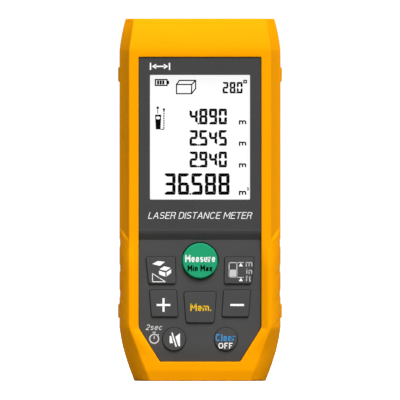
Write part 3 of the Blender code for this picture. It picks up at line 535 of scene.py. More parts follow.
END_STEPS, CORNER_STEPS = 14, 6
LEAN = 4.5  # the grip's steps run down from the side to the front edge by this much


def lean(z):
    return LEAN * smooth((z - 4.5) / 13.0) * smooth((78.0 - z) / 20.0)


FACE_STATIONS = [z - lean(z) for z in STATIONS]


def outline_ring(width, z_low, z_high, stations, reach=0.4):
    """A loop in X and Z: base edge, right side, top edge, left side, with small corner curves."""
    right = [(width(z), z) for z in stations]
    lx, hx = width(z_low), width(z_high)
    c0 = bezier((lx - reach, z_low), (lx, z_low), right[0], CORNER_STEPS)
    c1 = bezier(right[-1], (hx, z_high), (hx - reach, z_high), CORNER_STEPS)
    half = c0 + right[1:-1] + c1
    base = [(-(lx - reach) + 2 * (lx - reach) * k / END_STEPS, z_low) for k in range(1, END_STEPS)]
    top = [((hx - reach) - 2 * (hx - reach) * k / END_STEPS, z_high) for k in range(1, END_STEPS)]
    left = [(-x, z) for x, z in reversed(half)]
    return base + half + top + left


def panel_width(z, top):
    """Half width of the panel opening at z."""
    x = 14.0 + (z - 6.8) * 7.5 / 11.9
    return min(21.5, soft_min(x, 21.5, 0.35)) if z < 22 else 21.5


def panel_station(z, top):
    if z < 18.7:
        return 6.8 + 0.4 + (z - STATIONS[0]) / (18.7 - STATIONS[0]) * (18.7 - 7.2)
    if z <= 100:
        return z
    return 100 + (z - 100) / (STATIONS[-1] - 100) * (top - 0.4 - 100)


def rim_raise(x, z):
    """Beside the keypad the rim rises from the panel's edge to a ridge along the front edge."""
    dist = max(abs(x) - 21.5, (abs(x) - 21.5) * 0.846 - (z - 18.7) * 0.533)
    rise = 0.58 * soft_min(max(dist, 0.0), 2.25, 0.5) - 0.3
    return rise * smooth((51.5 - z) / 13.0) * smooth((z - 8.0) / 12.0)


def groove(z):
    """Depth of the four shallow finger grooves across the side at z."""
    deep = 0.0
    for top in NOTCH_TOPS:
        h = top - z
        wide = 1.3 if top < 25 else 2.5
        deep = max(deep, 0.19 * smooth((h + 0.15) / 0.3) * (1 - smooth((h - wide) / 0.35)))
    return deep


def grip(zs, t):
    """How far the slanted side stands out, t from the front edge (0) to the upright wall (1). It is hollow above the grip, full in it, and notched at its outer end."""
    d = 8.0 * t
    hollow = (0.7 + 0.5 * smooth((zs - 113.0) / 6.0)) * (-0.1208 * d + 0.0151 * d * d)
    full = 0.5 * (1.0726 * (0.2 * d + 1.46 * (1 - math.exp(-d / 2))) + 3.25 * (1 - (1 - t) ** 2)) - 0.40625 * d
    on = 0.55 * smooth((54.0 - zs) / 1.0) + 0.45 * smooth((53.6 - zs) / 6.0)
    low = 1 + 0.3 * smooth((16.0 - zs) / 9.0)
    out = hollow * (1 - on) + full * low * on
    out -= groove(zs) * (0.3 * smooth((t - 0.05) / 0.35) + 0.7 * smooth((t - 0.8) / 0.2))
    return out * smooth((LENGTH - zs) / 1.5)


def pad(y, z):
    up = 0.0
    for z0, z1 in PADS:
        rise = smooth((z - z0 + 0.1) / 0.6) * smooth((z1 + 0.1 - z) / 0.6)
        up = max(up, rise * smooth((5.3 - abs(y)) / 0.7))
    return up


def bumper(name, front, panel_top):
    """One half shell: a closed loop of rings from the panel opening, over the rim, round the side and back inside."""
    sign = -1 if front else 1
    panel_z = [panel_station(z, panel_top) for z in FACE_STATIONS]
    inside_z = [max(z, 2.4) if z < 60 else min(z, 124.6) for z in STATIONS]
    inner = outline_ring(lambda z: panel_width(z, panel_top), 6.8, panel_top, panel_z, 0.4)
    outer = outline_ring(lambda z: flat_edge(z, front), 0.0, LENGTH, FACE_STATIONS, 0.3)
    side = outline_ring(half_width, 0.0, LENGTH, STATIONS, 0.3)
    shell = outline_ring(lambda z: half_width(z) - 1.6, 1.6, LENGTH - 1.6, inside_z, 0.6)
    inner_flat = outline_ring(lambda z: flat_edge(z, front) - 1.2, 1.6, LENGTH - 1.6, inside_z, 0.6)
    begin = [-SIDE_Y0 if front else SIDE_Y1] * len(side)
    plain_side = side
    lip = 13.95 if front else 13.2
    rim = [0.12, 0.2, 0.3, 0.4, 0.48, 0.54, 0.58, 0.61, 0.64, 0.67, 0.7, 0.74, 0.79, 0.85, 0.9]

    def height(x, z):
        return face_depth(z, front) + (rim_raise(x, z) if front else 0.0)

    def lerp(a, b, t):
        return [(p[0] + (q[0] - p[0]) * t, p[1] + (q[1] - p[1]) * t) for p, q in zip(a, b)]

    rings = []
    # opening wall, then the rounded lip
    lip_r = 0.2
    rings.append([(x, sign * lip, z) for x, z in inner])
    rings.append([(x, sign * (height(x, z) - lip_r), z) for x, z in inner])
    for k in range(1, 4):
        a = math.pi / 2 * k / 3
        ring = []
        for (x, z), (ox, oz) in zip(inner, outer):
            dx, dz = ox - x, oz - z
            s = lip_r * (1 - math.cos(a)) / math.hypot(dx, dz)
            px_, pz = x + dx * s, z + dz * s
            ring.append((px_, sign * (height(px_, pz) - lip_r * (1 - math.sin(a))), pz))
        rings.append(ring)
    for t in rim:
        rings.append([(x, sign * height(x, z), z) for x, z in lerp(inner, outer, t)])

    # rounded front edge, the slanted side, then the turn into the upright wall
    def slant(d):
        t = d / 8.0
        ring = []
        for (x, z), (ox, oz), (sx, sz), y1 in zip(lerp(outer, plain_side, t), outer, plain_side, begin):
            y = height(ox, oz)
            y += (y1 - y) * t
            if abs(ox) > 10 and 0.39 < sz < 126.61:
                # the mesh lines lean, the surface under them does not
                f = flat_edge(z, front)
                x = math.copysign(f + (half_width(z) - f) * t, x)
                y = height(f, z) + base_bevel(z) * smooth(t / 0.3)
                y += (y1 - y) * t
            if abs(ox) > 10:
                x += math.copysign(1, x) * grip(sz, t)
            ring.append((x, y, z))
        return ring

    def blend(ring_a, ring_v, ring_b, steps):
        for k in range(1, steps + 1):
            t = k / steps
            ring = [tuple((1 - t) ** 2 * p + 2 * t * (1 - t) * q + t * t * r for p, q, r in zip(pa, pv, pb)) for pa, pv, pb in zip(ring_a, ring_v, ring_b)]
            rings.append([(x, sign * d, z) for x, d, z in ring])

    edge_a = [(x, height(x, z), z) for x, z in lerp(inner, outer, 0.94)]
    edge_v = [(x, height(x, z), z) for x, z in outer]
    rings.append([(x, sign * d, z) for x, d, z in edge_a])
    blend(edge_a, edge_v, slant(0.5), 5)
    for d in (0.85, 1.3, 1.75, 2.2, 2.7, 3.2, 3.7, 4.2, 4.7, 5.2, 5.6, 6.0, 6.4, 6.8, 7.1, 7.2, 7.4, 7.55, 7.59, 7.62, 7.75, 7.86, 7.92):
        rings.append([(x, sign * y, z) for x, y, z in slant(d)])
    side = [(x - math.copysign(groove(z), x) if abs(x) > 20 else x, z) for x, z in side]
    blend(slant(7.92), [(x, y - 0.03, z) for (x, z), y in zip(side, begin)], [(x, y - 0.35, z) for (x, z), y in zip(side, begin)], 4)
    for y in (7.1, 6.6, 6.1, 5.7, 5.4, 5.1, 4.85, 4.6, 4.2, 3.0, 1.8, 0.9, 0.45):
        ring = []
        for x, z in side:
            up = (PAD_HALF - HALF_WIDTH + groove(z)) * pad(y, z) if abs(x) > 20 else 0.0
            ring.append((x + math.copysign(up, x), sign * y, z))
        rings.append(ring)
    # the parting line's small chamfer, and the inside
    for y, gap in ((0.28, 0.06), (0.15, 0.2)):
        ring = []
        for x, z in side:
            up = (PAD_HALF - HALF_WIDTH + groove(z)) * pad(y, z) - gap if abs(x) > 20 else 0.0
            ring.append((x + math.copysign(1, x) * up, sign * y, z))
        rings.append(ring)
    rings.append([(x, sign * 0.15, z) for x, z in shell])
    rings.append([(x, sign * (8.5 if front else SIDE_Y1), z) for x, z in shell])
    thick = 2.4 if front else 1.6
    for t in (0.0, 0.4, 0.8):
        rings.append([(x, sign * max(face_depth(z, front) - thick, 8.9), z) for x, z in lerp(inner_flat, inner, t)])
    obj = loop_mesh(name, rings, M["bumper"], closed=True, angle=50)
    # the optics' opening in the top end
    ctrl = box_ctrl(-18.0, 18.0, -7.0, 11.0)
    levels = [(120.0, 0.0), (126.55, 0.0), (126.7, -0.03), (126.85, -0.13), (126.95, -0.26), (127.01, -0.42), (129.0, -0.5)]
    cut(obj, along_z("end_opening", lambda d: rounded(ctrl, [2.4] * 4, 10, d), levels, M["bumper"]))
    shade(obj, 50)
    return obj


front = bumper("front_bumper_skin", True, 113.5)
place(front, "housing", "bumper", "front_bumper")
rear = bumper("rear_bumper_skin", False, 119.0)
place(rear, "housing", "bumper", "rear_bumper")


# ---------------------------------------------------------------- display bezel and window
def bezel():
    w, z0, z1 = DISPLAY

    def outer(y, inset, low):
        ctrl = box_ctrl(-21.4, 21.4, low, 113.4)
        return [(x, y, z) for x, z in rounded(ctrl, [0.5] * 4, 6, inset)]

    def inner(y, grow):
        ctrl = box_ctrl(-w, w, z0, z1)
        return [(x, y, z) for x, z in rounded(ctrl, [0.35] * 4, 6, -grow)]

    # the lower end slopes down to the keypad
    rings = [outer(y, inset, low) for y, inset, low in (
        (CLAMP_Y, 0, STEP_Z), (-14.9, 0, STEP_Z), (-15.08, 0, STEP_Z), (-15.14, 0, STEP_Z + 0.12), (-15.4, 0, STEP_Z + 0.65),
        (-15.7, 0, STEP_Z + 1.25), (-15.9, 0, STEP_Z + 1.65), (-16.05, 0.02, STEP_Z + 1.98), (-16.13, 0.05, STEP_Z + 2.2), (-16.18, 0.1, STEP_Z + 2.4), (BEZEL_Y, 0.15, STEP_Z + 2.55), (-16.27, 0.2, STEP_Z + 2.8))]
    rings.append(outer(-16.27, 0.25, STEP_Z + 2.9))
    rings.append(outer(BEZEL_Y, 0.4, STEP_Z + 3.15))
    rings.append(outer(BEZEL_Y, 0.6, STEP_Z + 3.3))
    for k in range(0, 5):
        a = math.pi / 2 * k / 4
        rings.append(inner(BEZEL_Y + 0.2 * (1 - math.cos(a)), 0.2 * (1 - math.sin(a))))
    rings += [inner(-15.3, 0.0), inner(-15.3, 1.2), inner(CLAMP_Y, 1.2)]
    return level(loop_mesh("bezel_frame", rings, M["panel"], closed=True))


place(bezel(), "housing", "panel_plastic", "display_bezel")


def window():
    w, z0, z1 = DISPLAY
    wide = box_ctrl(-w - 0.9, w + 0.9, z0 - 0.9, z1 + 0.9)
    boss = box_ctrl(-w + 0.12, w - 0.12, z0 + 0.12, z1 - 0.12)
    rings = [[(x, CLAMP_Y, z) for x, z in rounded(wide, [0.6] * 4, 5)], [(x, -15.0, z) for x, z in rounded(wide, [0.6] * 4, 5)],
             [(x, -15.0, z) for x, z in rounded(boss, [0.35] * 4, 5)], [(x, -15.9, z) for x, z in rounded(boss, [0.35] * 4, 5)],
             [(x, -15.97, z) for x, z in rounded(boss, [0.35] * 4, 5, 0.03)], [(x, -16.0, z) for x, z in rounded(boss, [0.35] * 4, 5, 0.1)]]
    return loop_mesh("window_lens", rings, M["clear"])


place(window(), "housing", "clear_plastic", "display_window")

lcd = along_y("lcd_face", lambda d: rounded(box_ctrl(-18.9, 18.9, 62.0, 109.0), [0.3] * 4, 3, d), [(-12.0, 0), (-13.42, 0), (-13.5, 0.08)], M["lcd"])
place(lcd, "housing", "lens_glass", "lcd_panel")

# ---------------------------------------------------------------- keypad
KEYS = {
    "shape_key": ([(-17.95, 34.05), (-8.45, 34.05), (-8.65, 43.4), (-18.95, 43.4)], 0.6),
    "reference_key": ([(8.45, 34.05), (17.95, 34.05), (18.95, 43.4), (8.65, 43.4)], 0.6),
    "plus_key": ([(-16.95, 22.5), (-7.65, 22.5), (-8.3, 31.85), (-17.7, 31.85)], 0.55),
    "minus_key": ([(7.65, 22.5), (16.95, 22.5), (17.7, 31.85), (8.3, 31.85)], 0.55),
    "memory_key": ([(-4.85, 20.4), (4.85, 20.4), (5.7, 31.3), (-5.7, 31.3)], 0.9),
    "measure_key": (0.0, 42.15, 6.15),
    "timer_key": (-9.05, 14.67, 4.05),
    "clear_key": (9.05, 14.67, 4.05),
}
KEY_GAP = {"measure_key": 0.42, "timer_key": 0.13, "clear_key": 0.13}


def key_outline(name, grow=0.0, lift=0.0):
    """The key's outline grown by grow, with its lower and left edges drawn in by lift."""
    spec = KEYS[name]
    if len(spec) == 3:
        cx, cz, r = spec
        return lambda d: circle(cx + 0.25 * lift, cz + 0.5 * lift, r - 0.5 * lift + grow - d, 96)
    ctrl, r = spec
    ctrl = [(ctrl[0][0] + 0.4 * lift, ctrl[0][1] + lift), (ctrl[1][0], ctrl[1][1] + lift), ctrl[2], (ctrl[3][0] + 0.4 * lift, ctrl[3][1])]
    return lambda d: rounded(ctrl, [r] * 4, 8, d - grow)


def key_cap(name):
    green = name == "measure_key"
    top = -16.3 if green else -15.72
    mat = M["green"] if green else M["key"]
    skirt = key_outline(name, 0.5)
    r, lift = (0.3, 0.1) if green else (0.14, 0.16)
    rings = [[(x, y, z) for x, z in skirt(0.0)] for y in (-13.0, -13.7)]
    base = -15.15
    rings += [[(x, y, z) for x, z in key_outline(name)(0.0)] for y in (-13.7, base)]
    for k in range(1, 5):
        y = base + (top + r - base) * k / 4
        rings.append([(x, y, z) for x, z in key_outline(name, 0.0, lift * k / 4)(0.0)])
    last = key_outline(name, 0.0, lift)
    for k in range(1, 6):
        a = math.pi / 2 * k / 5
        rings.append([(x, top + r * (1 - math.sin(a)), z) for x, z in last(r * (1 - math.cos(a)))])
    rings.append([(x, top, z) for x, z in last(r + 0.15)])
    obj = loop_mesh(name + "_cap", rings, mat)
    spec = KEYS[name]
    if len(spec) == 3:
        cx, cz = spec[0], spec[1]
    else:
        cx, cz = sum(p[0] for p in spec[0]) / 4, sum(p[1] for p in spec[0]) / 4
    join(obj, rod_y("stem", cx, cz, 1.5, -13.4, -10.4, mat, 32))
    level(obj)
    return place(obj, name + "_body", "key_green" if green else "key_rubber", name)


for key_name in KEYS:
    key_cap(key_name)


def keypad_cover():
    ctrl = panel_ctrl([(14.0, 6.8), (21.5, 18.7), (21.5, STEP_Z + 0.04)], 0.1)
    obj = along_y("keypad_plate", lambda d: rounded(ctrl, [0.5] * 6, 6, d), [(CLAMP_Y, 0), (COVER_Y + 0.15, 0), (COVER_Y + 0.05, 0.04), (COVER_Y, 0.13)], M["cover"])
    for name in KEYS:
        cut(obj, along_y("hole", key_outline(name, KEY_GAP.get(name, 0.14)), flared(-12.0, COVER_Y, 0.1), M["cover"]))
    return level(obj)


place(keypad_cover(), "housing", "panel_plastic", "keypad_cover")


# ---------------------------------------------------------------- print and pictograms
def px(x, y):
    """A place on the front, in steps of 0.35 mm from the middle line and the top margin."""
    return (x - 200.0) * 0.35, (381.2 - y) * 0.35


def slab(name, polys, y, mat, body, slot="white_plastic", sink=0.05, raise_=0.025):
    """Flat printed shapes: each polygon in X and Z becomes a thin prism on a face at y."""
    points, faces = [], []
    for poly in polys:
        n = len(poly)
        base = len(points)
        points += [(x, y + sink, z) for x, z in poly] + [(x, y - raise_, z) for x, z in poly]
        faces.append(tuple(base + i for i in range(n - 1, -1, -1)))
        faces.append(tuple(base + n + i for i in range(n)))
        for i in range(n):
            j = (i + 1) % n
            faces.append((base + i, base + j, base + n + j, base + n + i))
    obj = make(name, points, faces, mat, 30)
    return place(obj, body, slot)


def line(a, b, w):
    """A straight stroke from a to b with width w."""
    dx, dz = b[0] - a[0], b[1] - a[1]
    size = math.hypot(dx, dz)
    nx, nz = -dz / size * w / 2, dx / size * w / 2
    return [(a[0] + nx, a[1] + nz), (b[0] + nx, b[1] + nz), (b[0] - nx, b[1] - nz), (a[0] - nx, a[1] - nz)]


def outline_strokes(points, w, closed=True):
    """Strokes along a path, each run a little long so that the corners meet."""
    out = []
    n = len(points)
    for i in range(n if closed else n - 1):
        a, b = points[i], points[(i + 1) % n]
        dx, dz = b[0] - a[0], b[1] - a[1]
        size = math.hypot(dx, dz)
        e = w * 0.5
        a2 = (a[0] - dx / size * e, a[1] - dz / size * e)
        b2 = (b[0] + dx / size * e, b[1] + dz / size * e)
        out.append(line(a2, b2, w))
    return out


def ring_band(cx, cz, r0, r1, n=40):
    """A flat ring as a set of four-sided pieces."""
    out = []
    for k in range(n):
        a, b = 2 * math.pi * k / n, 2 * math.pi * (k + 1.02) / n
        out.append([(cx + r1 * math.cos(a), cz + r1 * math.sin(a)), (cx + r1 * math.cos(b), cz + r1 * math.sin(b)),
                    (cx + r0 * math.cos(b), cz + r0 * math.sin(b)), (cx + r0 * math.cos(a), cz + r0 * math.sin(a))])
    return out


def arc(cx, cy, rx, ry, a0, a1, n=9, square=0.86):
    """Points on a slightly squared ellipse, angles in degrees."""
    out = []
    for k in range(n + 1):
        a = math.radians(a0 + (a1 - a0) * k / n)
        c, d = math.cos(a), math.sin(a)
        out.append((cx + rx * math.copysign(abs(c) ** square, c), cy + ry * math.copysign(abs(d) ** square, d)))
    return out


# Plain sans-serif letters: ink width and height in capital heights, then centre lines in the unit square.
# A stroke marked True runs out to the letter's edge at both ends; a third number thins it.
LETTERS = {
    "A": (0.74, 1, [(True, [(0.0, 0), (0.47, 1)]), (True, [(1.0, 0), (0.53, 1)]), (False, [(0.2, 0.34), (0.8, 0.34)])]),
    "C": (0.72, 1, [(False, arc(0.5, 0.5, 0.5, 0.5, 40, 320, 18))]),
    "D": (0.70, 1, [(False, [(0, 0), (0, 1), (0.45, 1)] + arc(0.45, 0.5, 0.55, 0.5, 80, -80, 10) + [(0.45, 0), (0, 0), (0, 0.2)])]),
    "E": (0.60, 1, [(True, [(1, 1), (0, 1), (0, 0), (1, 0)]), (False, [(0, 0.52), (0.92, 0.52)])]),
    "F": (0.56, 1, [(True, [(1, 1), (0, 1), (0, 0)]), (False, [(0, 0.5), (0.86, 0.5)])]),
    "I": (0.0, 1, [(True, [(0, 0), (0, 1)])]),
    "L": (0.54, 1, [(True, [(0, 1), (0, 0), (1, 0)])]),
    "M": (0.86, 1, [(True, [(0, 0), (0, 1)]), (False, [(0.04, 1), (0.5, 0.3)], 0.95), (False, [(0.5, 0.3), (0.96, 1)], 0.95), (True, [(1, 1), (1, 0)])]),
    "N": (0.70, 1, [(True, [(0, 0), (0, 1)]), (False, [(0.03, 1), (0.97, 0)], 0.9), (True, [(1, 0), (1, 1)])]),
    "O": (0.76, 1, [(False, arc(0.5, 0.5, 0.5, 0.5, 90, 455, 26))]),
    "R": (0.66, 1, [(True, [(0, 0), (0, 1)]), (False, [(0, 1), (0.55, 1)] + arc(0.6, 0.75, 0.38, 0.25, 75, -75, 7) + [(0.55, 0.5), (0, 0.5)]), (True, [(0.55, 0.5), (0.84, 0.42), (0.95, 0)])]),
    "S": (0.64, 1, [(False, arc(0.5, 0.75, 0.47, 0.25, 25, 262, 10) + arc(0.5, 0.25, 0.5, 0.25, 82, -155, 10))]),
    "T": (0.62, 1, [(True, [(0, 1), (1, 1)]), (True, [(0.5, 1), (0.5, 0)])]),
    "a": (0.55, 0.73, [(False, arc(0.45, 0.7, 0.43, 0.3, 165, 10, 8) + [(0.9, 0.6), (0.9, 0.1), (1.04, -0.05)]), (False, [(0.9, 0.6), (0.45, 0.56)] + arc(0.4, 0.28, 0.4, 0.28, 95, 265, 8) + [(0.55, 0.03), (0.9, 0.28)])]),
    "c": (0.52, 0.73, [(False, arc(0.5, 0.5, 0.5, 0.5, 38, 322, 14))]),
    "e": (0.55, 0.73, [(False, [(0.04, 0.53), (1, 0.53)] + arc(0.5, 0.5, 0.5, 0.5, 12, 325, 17))]),
    "f": (0.34, 1, [(False, [(1.1, 1), (0.8, 1), (0.5, 0.93), (0.42, 0.8), (0.42, -0.06)]), (False, [(-0.1, 0.7), (1.0, 0.7)])]),
    "i": (0.0, 1, [(False, [(0, -0.06), (0, 0.72)]), (False, [(0, 0.9), (0, 1.06)])]),
    "l": (0.0, 1, [(True, [(0, 0), (0, 1)])]),
    "m": (0.86, 0.73, [(True, [(0, 0), (0, 1)]), (False, [(0, 0.66)] + arc(0.26, 0.68, 0.24, 0.32, 150, 10, 6) + [(0.5, 0.6), (0.5, -0.08)]), (False, [(0.5, 0.66)] + arc(0.76, 0.68, 0.24, 0.32, 150, 10, 6) + [(1, 0.6), (1, -0.08)])]),
    "n": (0.53, 0.73, [(True, [(0, 0), (0, 1)]), (False, [(0, 0.62)] + arc(0.5, 0.68, 0.5, 0.32, 150, 8, 8) + [(1, 0.6), (1, -0.08)])]),
    "r": (0.40, 0.73, [(True, [(0, 0), (0, 1)]), (False, [(0, 0.55), (0.2, 0.82), (0.6, 0.99), (1.35, 1)])]),
    "s": (0.50, 0.73, [(False, arc(0.5, 0.75, 0.46, 0.25, 22, 258, 9) + arc(0.5, 0.25, 0.5, 0.25, 78, -158, 9))]),
    "t": (0.34, 0.92, [(False, [(0.42, 1.08), (0.42, 0.25), (0.5, 0.06), (0.75, 0), (1.1, 0.0)]), (False, [(-0.1, 0.75), (1.1, 0.75)])]),
    "u": (0.53, 0.73, [(False, [(0, 1.08), (0, 0.4)] + arc(0.5, 0.32, 0.5, 0.32, 188, 330, 8) + [(1, 0.38)]), (True, [(1, 1), (1, 0)])]),
    "x": (0.52, 0.73, [(True, [(0.0, 0), (1.0, 1)]), (True, [(0.0, 1), (1.0, 0)])]),
    "2": (0.55, 1, [(False, arc(0.5, 0.71, 0.5, 0.29, 170, -25, 11) + [(0.06, 0.12), (0.0, 0.0), (1.05, 0)])]),
    "3": (0.55, 1, [(False, arc(0.5, 0.76, 0.45, 0.24, 160, -80, 9) + arc(0.5, 0.27, 0.5, 0.27, 85, -160, 10))]),
    ".": (0.0, 0.16, [(True, [(0, 0), (0, 0.6)])]),
}


def stroke(points, h, reach):
    """A stroke of half width h along a path, as four-sided pieces that meet on their mitres."""
    pts = [points[0]]
    for p in points[1:]:
        if math.hypot(p[0] - pts[-1][0], p[1] - pts[-1][1]) > 1e-4:
            pts.append(p)
    if reach:
        for end, near in ((0, 1), (-1, -2)):
            dx, dz = pts[end][0] - pts[near][0], pts[end][1] - pts[near][1]
            size = math.hypot(dx, dz)
            pts[end] = (pts[end][0] + dx / size * h, pts[end][1] + dz / size * h)
    sides = []
    n = len(pts)
    for i in range(n):
        dirs = []
        for a, b in ((i - 1, i), (i, i + 1)):
            if 0 <= a and b < n:
                dx, dz = pts[b][0] - pts[a][0], pts[b][1] - pts[a][1]
                size = math.hypot(dx, dz)
                dirs.append((dx / size, dz / size))
        nx = -sum(d[1] for d in dirs) / len(dirs)
        nz = sum(d[0] for d in dirs) / len(dirs)
        size = max(math.hypot(nx, nz), 0.5)
        k = h / size ** 2
        sides.append(((pts[i][0] + nx * k, pts[i][1] + nz * k), (pts[i][0] - nx * k, pts[i][1] - nz * k)))
    return [[sides[i][0], sides[i + 1][0], sides[i + 1][1], sides[i][1]] for i in range(n - 1)]


def words(name, text, box, y, mat, body, weight=1.2, slant=0.0, spacing=0.15, slot="white_plastic"):
    """Generic lettering fitted to a box given by its corners in steps (left, top, right, bottom); weight in steps."""
    (x0, z1), (x1, z0) = px(box[0], box[1]), px(box[2], box[3])
    h = weight * 0.35 / 2
    tallest = max(LETTERS[ch][1] for ch in text if ch != " ")
    cap = (z1 - z0) / tallest
    gap, space = spacing * cap, 0.22 * cap
    fixed = sum(gap for _ in text[1:]) + sum(space for ch in text if ch == " ") + sum(2 * h for ch in text if ch != " ")
    free = sum(max(LETTERS[ch][0] * cap - 2 * h, 0.0) for ch in text if ch != " ")
    stretch = ((x1 - x0) - slant * (z1 - z0) - fixed) / free if free > 0 else 1.0
    out, x = [], x0
    for ch in text:
        if ch == " ":
            x += space + gap
            continue
        wide, tall, paths = LETTERS[ch]
        w = max(wide * cap - 2 * h, 0.0) * stretch
        t = tall * cap - 2 * h
        for reach, path, *thin in paths:
            out += stroke([(x + h + u * w, z0 + h + v * t) for u, v in path], h * (thin[0] if thin else 1.0), reach)
        x += w + 2 * h + gap
    out = [[(a + slant * (b - z0), b) for a, b in poly] for poly in out]
    return slab(name, out, y, mat, body, slot, 0.03, 0.025)


BODY = "housing"
KEY_Y, GREEN_Y = -15.72, -16.3

# a plain dimension arrow above the display
zc = px(0, 66.4)[1]
xa, xb = px(150.5, 0)[0], px(169.5, 0)[0]
slab("range_mark", [line((xa, zc - 1.25), (xa, zc + 1.25), 0.5), line((xb, zc - 1.25), (xb, zc + 1.25), 0.5),
                    line((xa + 1.5, zc), (xb - 1.5, zc), 0.5),
                    [(xa + 0.45, zc), (xa + 2.0, zc - 0.95), (xa + 2.0, zc + 0.95)],
                    [(xb - 0.45, zc), (xb - 2.0, zc + 0.95), (xb - 2.0, zc - 0.95)]], BEZEL_Y, M["ink_white_painted_glow"], BODY)
words("descriptor", "LASER DISTANCE METER", (148.0, 212.1, 252.8, 218.8), BEZEL_Y, M["ink_white_painted_glow"], BODY, 0.7, 0.25, 0.15)

words("measure_word", "Measure", (185.2, 255.0, 215.3, 262.1), GREEN_Y, M["ink_white_painted_glow"], "measure_key_body", 1.3, 0, 0.12)
words("minmax_word", "Min Max", (187.6, 265.2, 212.3, 271.3), GREEN_Y, M["ink_black"], "measure_key_body", 1.3, 0, 0.1)
words("memory_word", "Mem.", (190.4, 303.7, 211.2, 311.0), KEY_Y, M["ink_yellow"], "memory_key_body", 1.2, 0, 0.13)
words("clear_word", "Clear", (215.6, 334.0, 235.2, 341.2), KEY_Y, M["ink_blue"], "clear_key_body", 1.15, 0, 0.12)
words("off_word", "OFF", (218.4, 342.8, 232.6, 348.6), KEY_Y, M["ink_white_painted_glow"], "clear_key_body", 0.95, 0, 0.18)
words("delay_word", "2sec", (145.6, 324.4, 163.2, 330.1), COVER_Y, M["ink_grey"], BODY, 0.82, 0.25, 0.17)

# plus and minus
cx, cz = px(163.5, 305.0)
slab("plus_sign", [line((cx - 2.4, cz), (cx - 0.36, cz), 0.74), line((cx + 0.36, cz), (cx + 2.4, cz), 0.74), line((cx, cz - 2.4), (cx, cz + 2.4), 0.74)], KEY_Y, M["ink_white_painted_glow"], "plus_key_body")
cx, cz = px(237.2, 305.0)
slab("minus_sign", [line((cx - 2.4, cz), (cx + 2.4, cz), 0.74)], KEY_Y, M["ink_white_painted_glow"], "minus_key_body")

# area, volume and right-angle pictograms
area = [px(152.2, 263.9), px(157.8, 261.0), px(165.0, 261.8), px(159.9, 266.0)]
box_top = [px(159.4, 269.3), px(164.2, 266.3), px(170.6, 267.9), px(166.0, 270.9)]
box_left = [px(159.0, 270.6), px(165.3, 272.6), px(165.3, 276.8), px(159.0, 274.3)]
box_right = [px(166.5, 272.4), px(171.2, 269.2), px(171.2, 272.8), px(166.5, 276.6)]
tri = [px(152.5, 273.6), px(152.5, 281.8), px(165.5, 281.8)]
slab("shape_icons", [area, box_top, box_left, box_right] + outline_strokes(tri, 0.25), KEY_Y, M["ink_white_painted_glow"], "shape_key_body")

# reference edge and unit pictograms
dev = [px(229.1, 262.7), px(236.9, 262.7), px(236.9, 277.2), px(229.1, 277.2)]
shapes = outline_strokes(dev, 0.3)
shapes.append([px(229.1, 269.7), px(236.9, 269.7), px(236.9, 277.2), px(229.1, 277.2)])
shapes += [line(px(237.4, 262.5), px(243.6, 262.5), 0.26), line(px(237.4, 277.4), px(243.6, 277.4), 0.26)]
slab("reference_icon", shapes, KEY_Y, M["ink_grey"], "reference_key_body")
slab("reference_arrows", [[px(240.9, 262.8), px(243.0, 266.4), px(238.8, 266.4)], [px(240.9, 277.7), px(243.0, 281.2), px(238.8, 281.2)]], KEY_Y, M["ink_white_painted_glow"], "reference_key_body")
words("unit_m", "m", (245.8, 262.0, 252.4, 266.6), KEY_Y, M["ink_grey"], "reference_key_body", 0.9)
words("unit_in", "in", (246.4, 268.4, 252.2, 274.0), KEY_Y, M["ink_grey"], "reference_key_body", 0.9, 0, 0.25)
words("unit_ft", "ft", (245.4, 275.8, 251.0, 281.4), KEY_Y, M["ink_grey"], "reference_key_body", 0.9, 0, 0.1)

# stopwatch beside the timer key, and its crossed-out loudspeaker
cx, cz = px(154.15, 338.8)
slab("stopwatch_icon", ring_band(cx, cz, 1.33, 1.8) + [line((cx, cz - 0.1), (cx, cz + 1.0), 0.34), line((cx - 0.55, cz + 2.3), (cx + 0.55, cz + 2.3), 0.36), line((cx, cz + 1.7), (cx, cz + 2.3), 0.4), line((cx + 1.2, cz + 1.2), (cx + 1.6, cz + 1.6), 0.36)], COVER_Y, M["ink_grey"], BODY)
speaker = [[px(169.6, 336.1), px(171.3, 335.9), px(173.0, 343.2), px(169.6, 343.2)],
           [px(175.3, 336.8), px(180.0, 333.2), px(180.0, 346.4), px(178.4, 346.0)],
           [px(171.3, 332.7), px(172.7, 332.7), px(176.9, 346.8), px(175.5, 346.8)]]
slab("mute_icon", speaker, KEY_Y, M["ink_white_painted_glow"], "timer_key_body")

# ---------------------------------------------------------------- what the display shows
LCD_Y = -13.5
SEGMENTS = {"0": "abcdef", "1": "bc", "2": "abged", "3": "abgcd", "4": "fgbc", "5": "afgcd", "6": "afgedc", "7": "abc", "8": "abcdefg", "9": "abcdfg"}


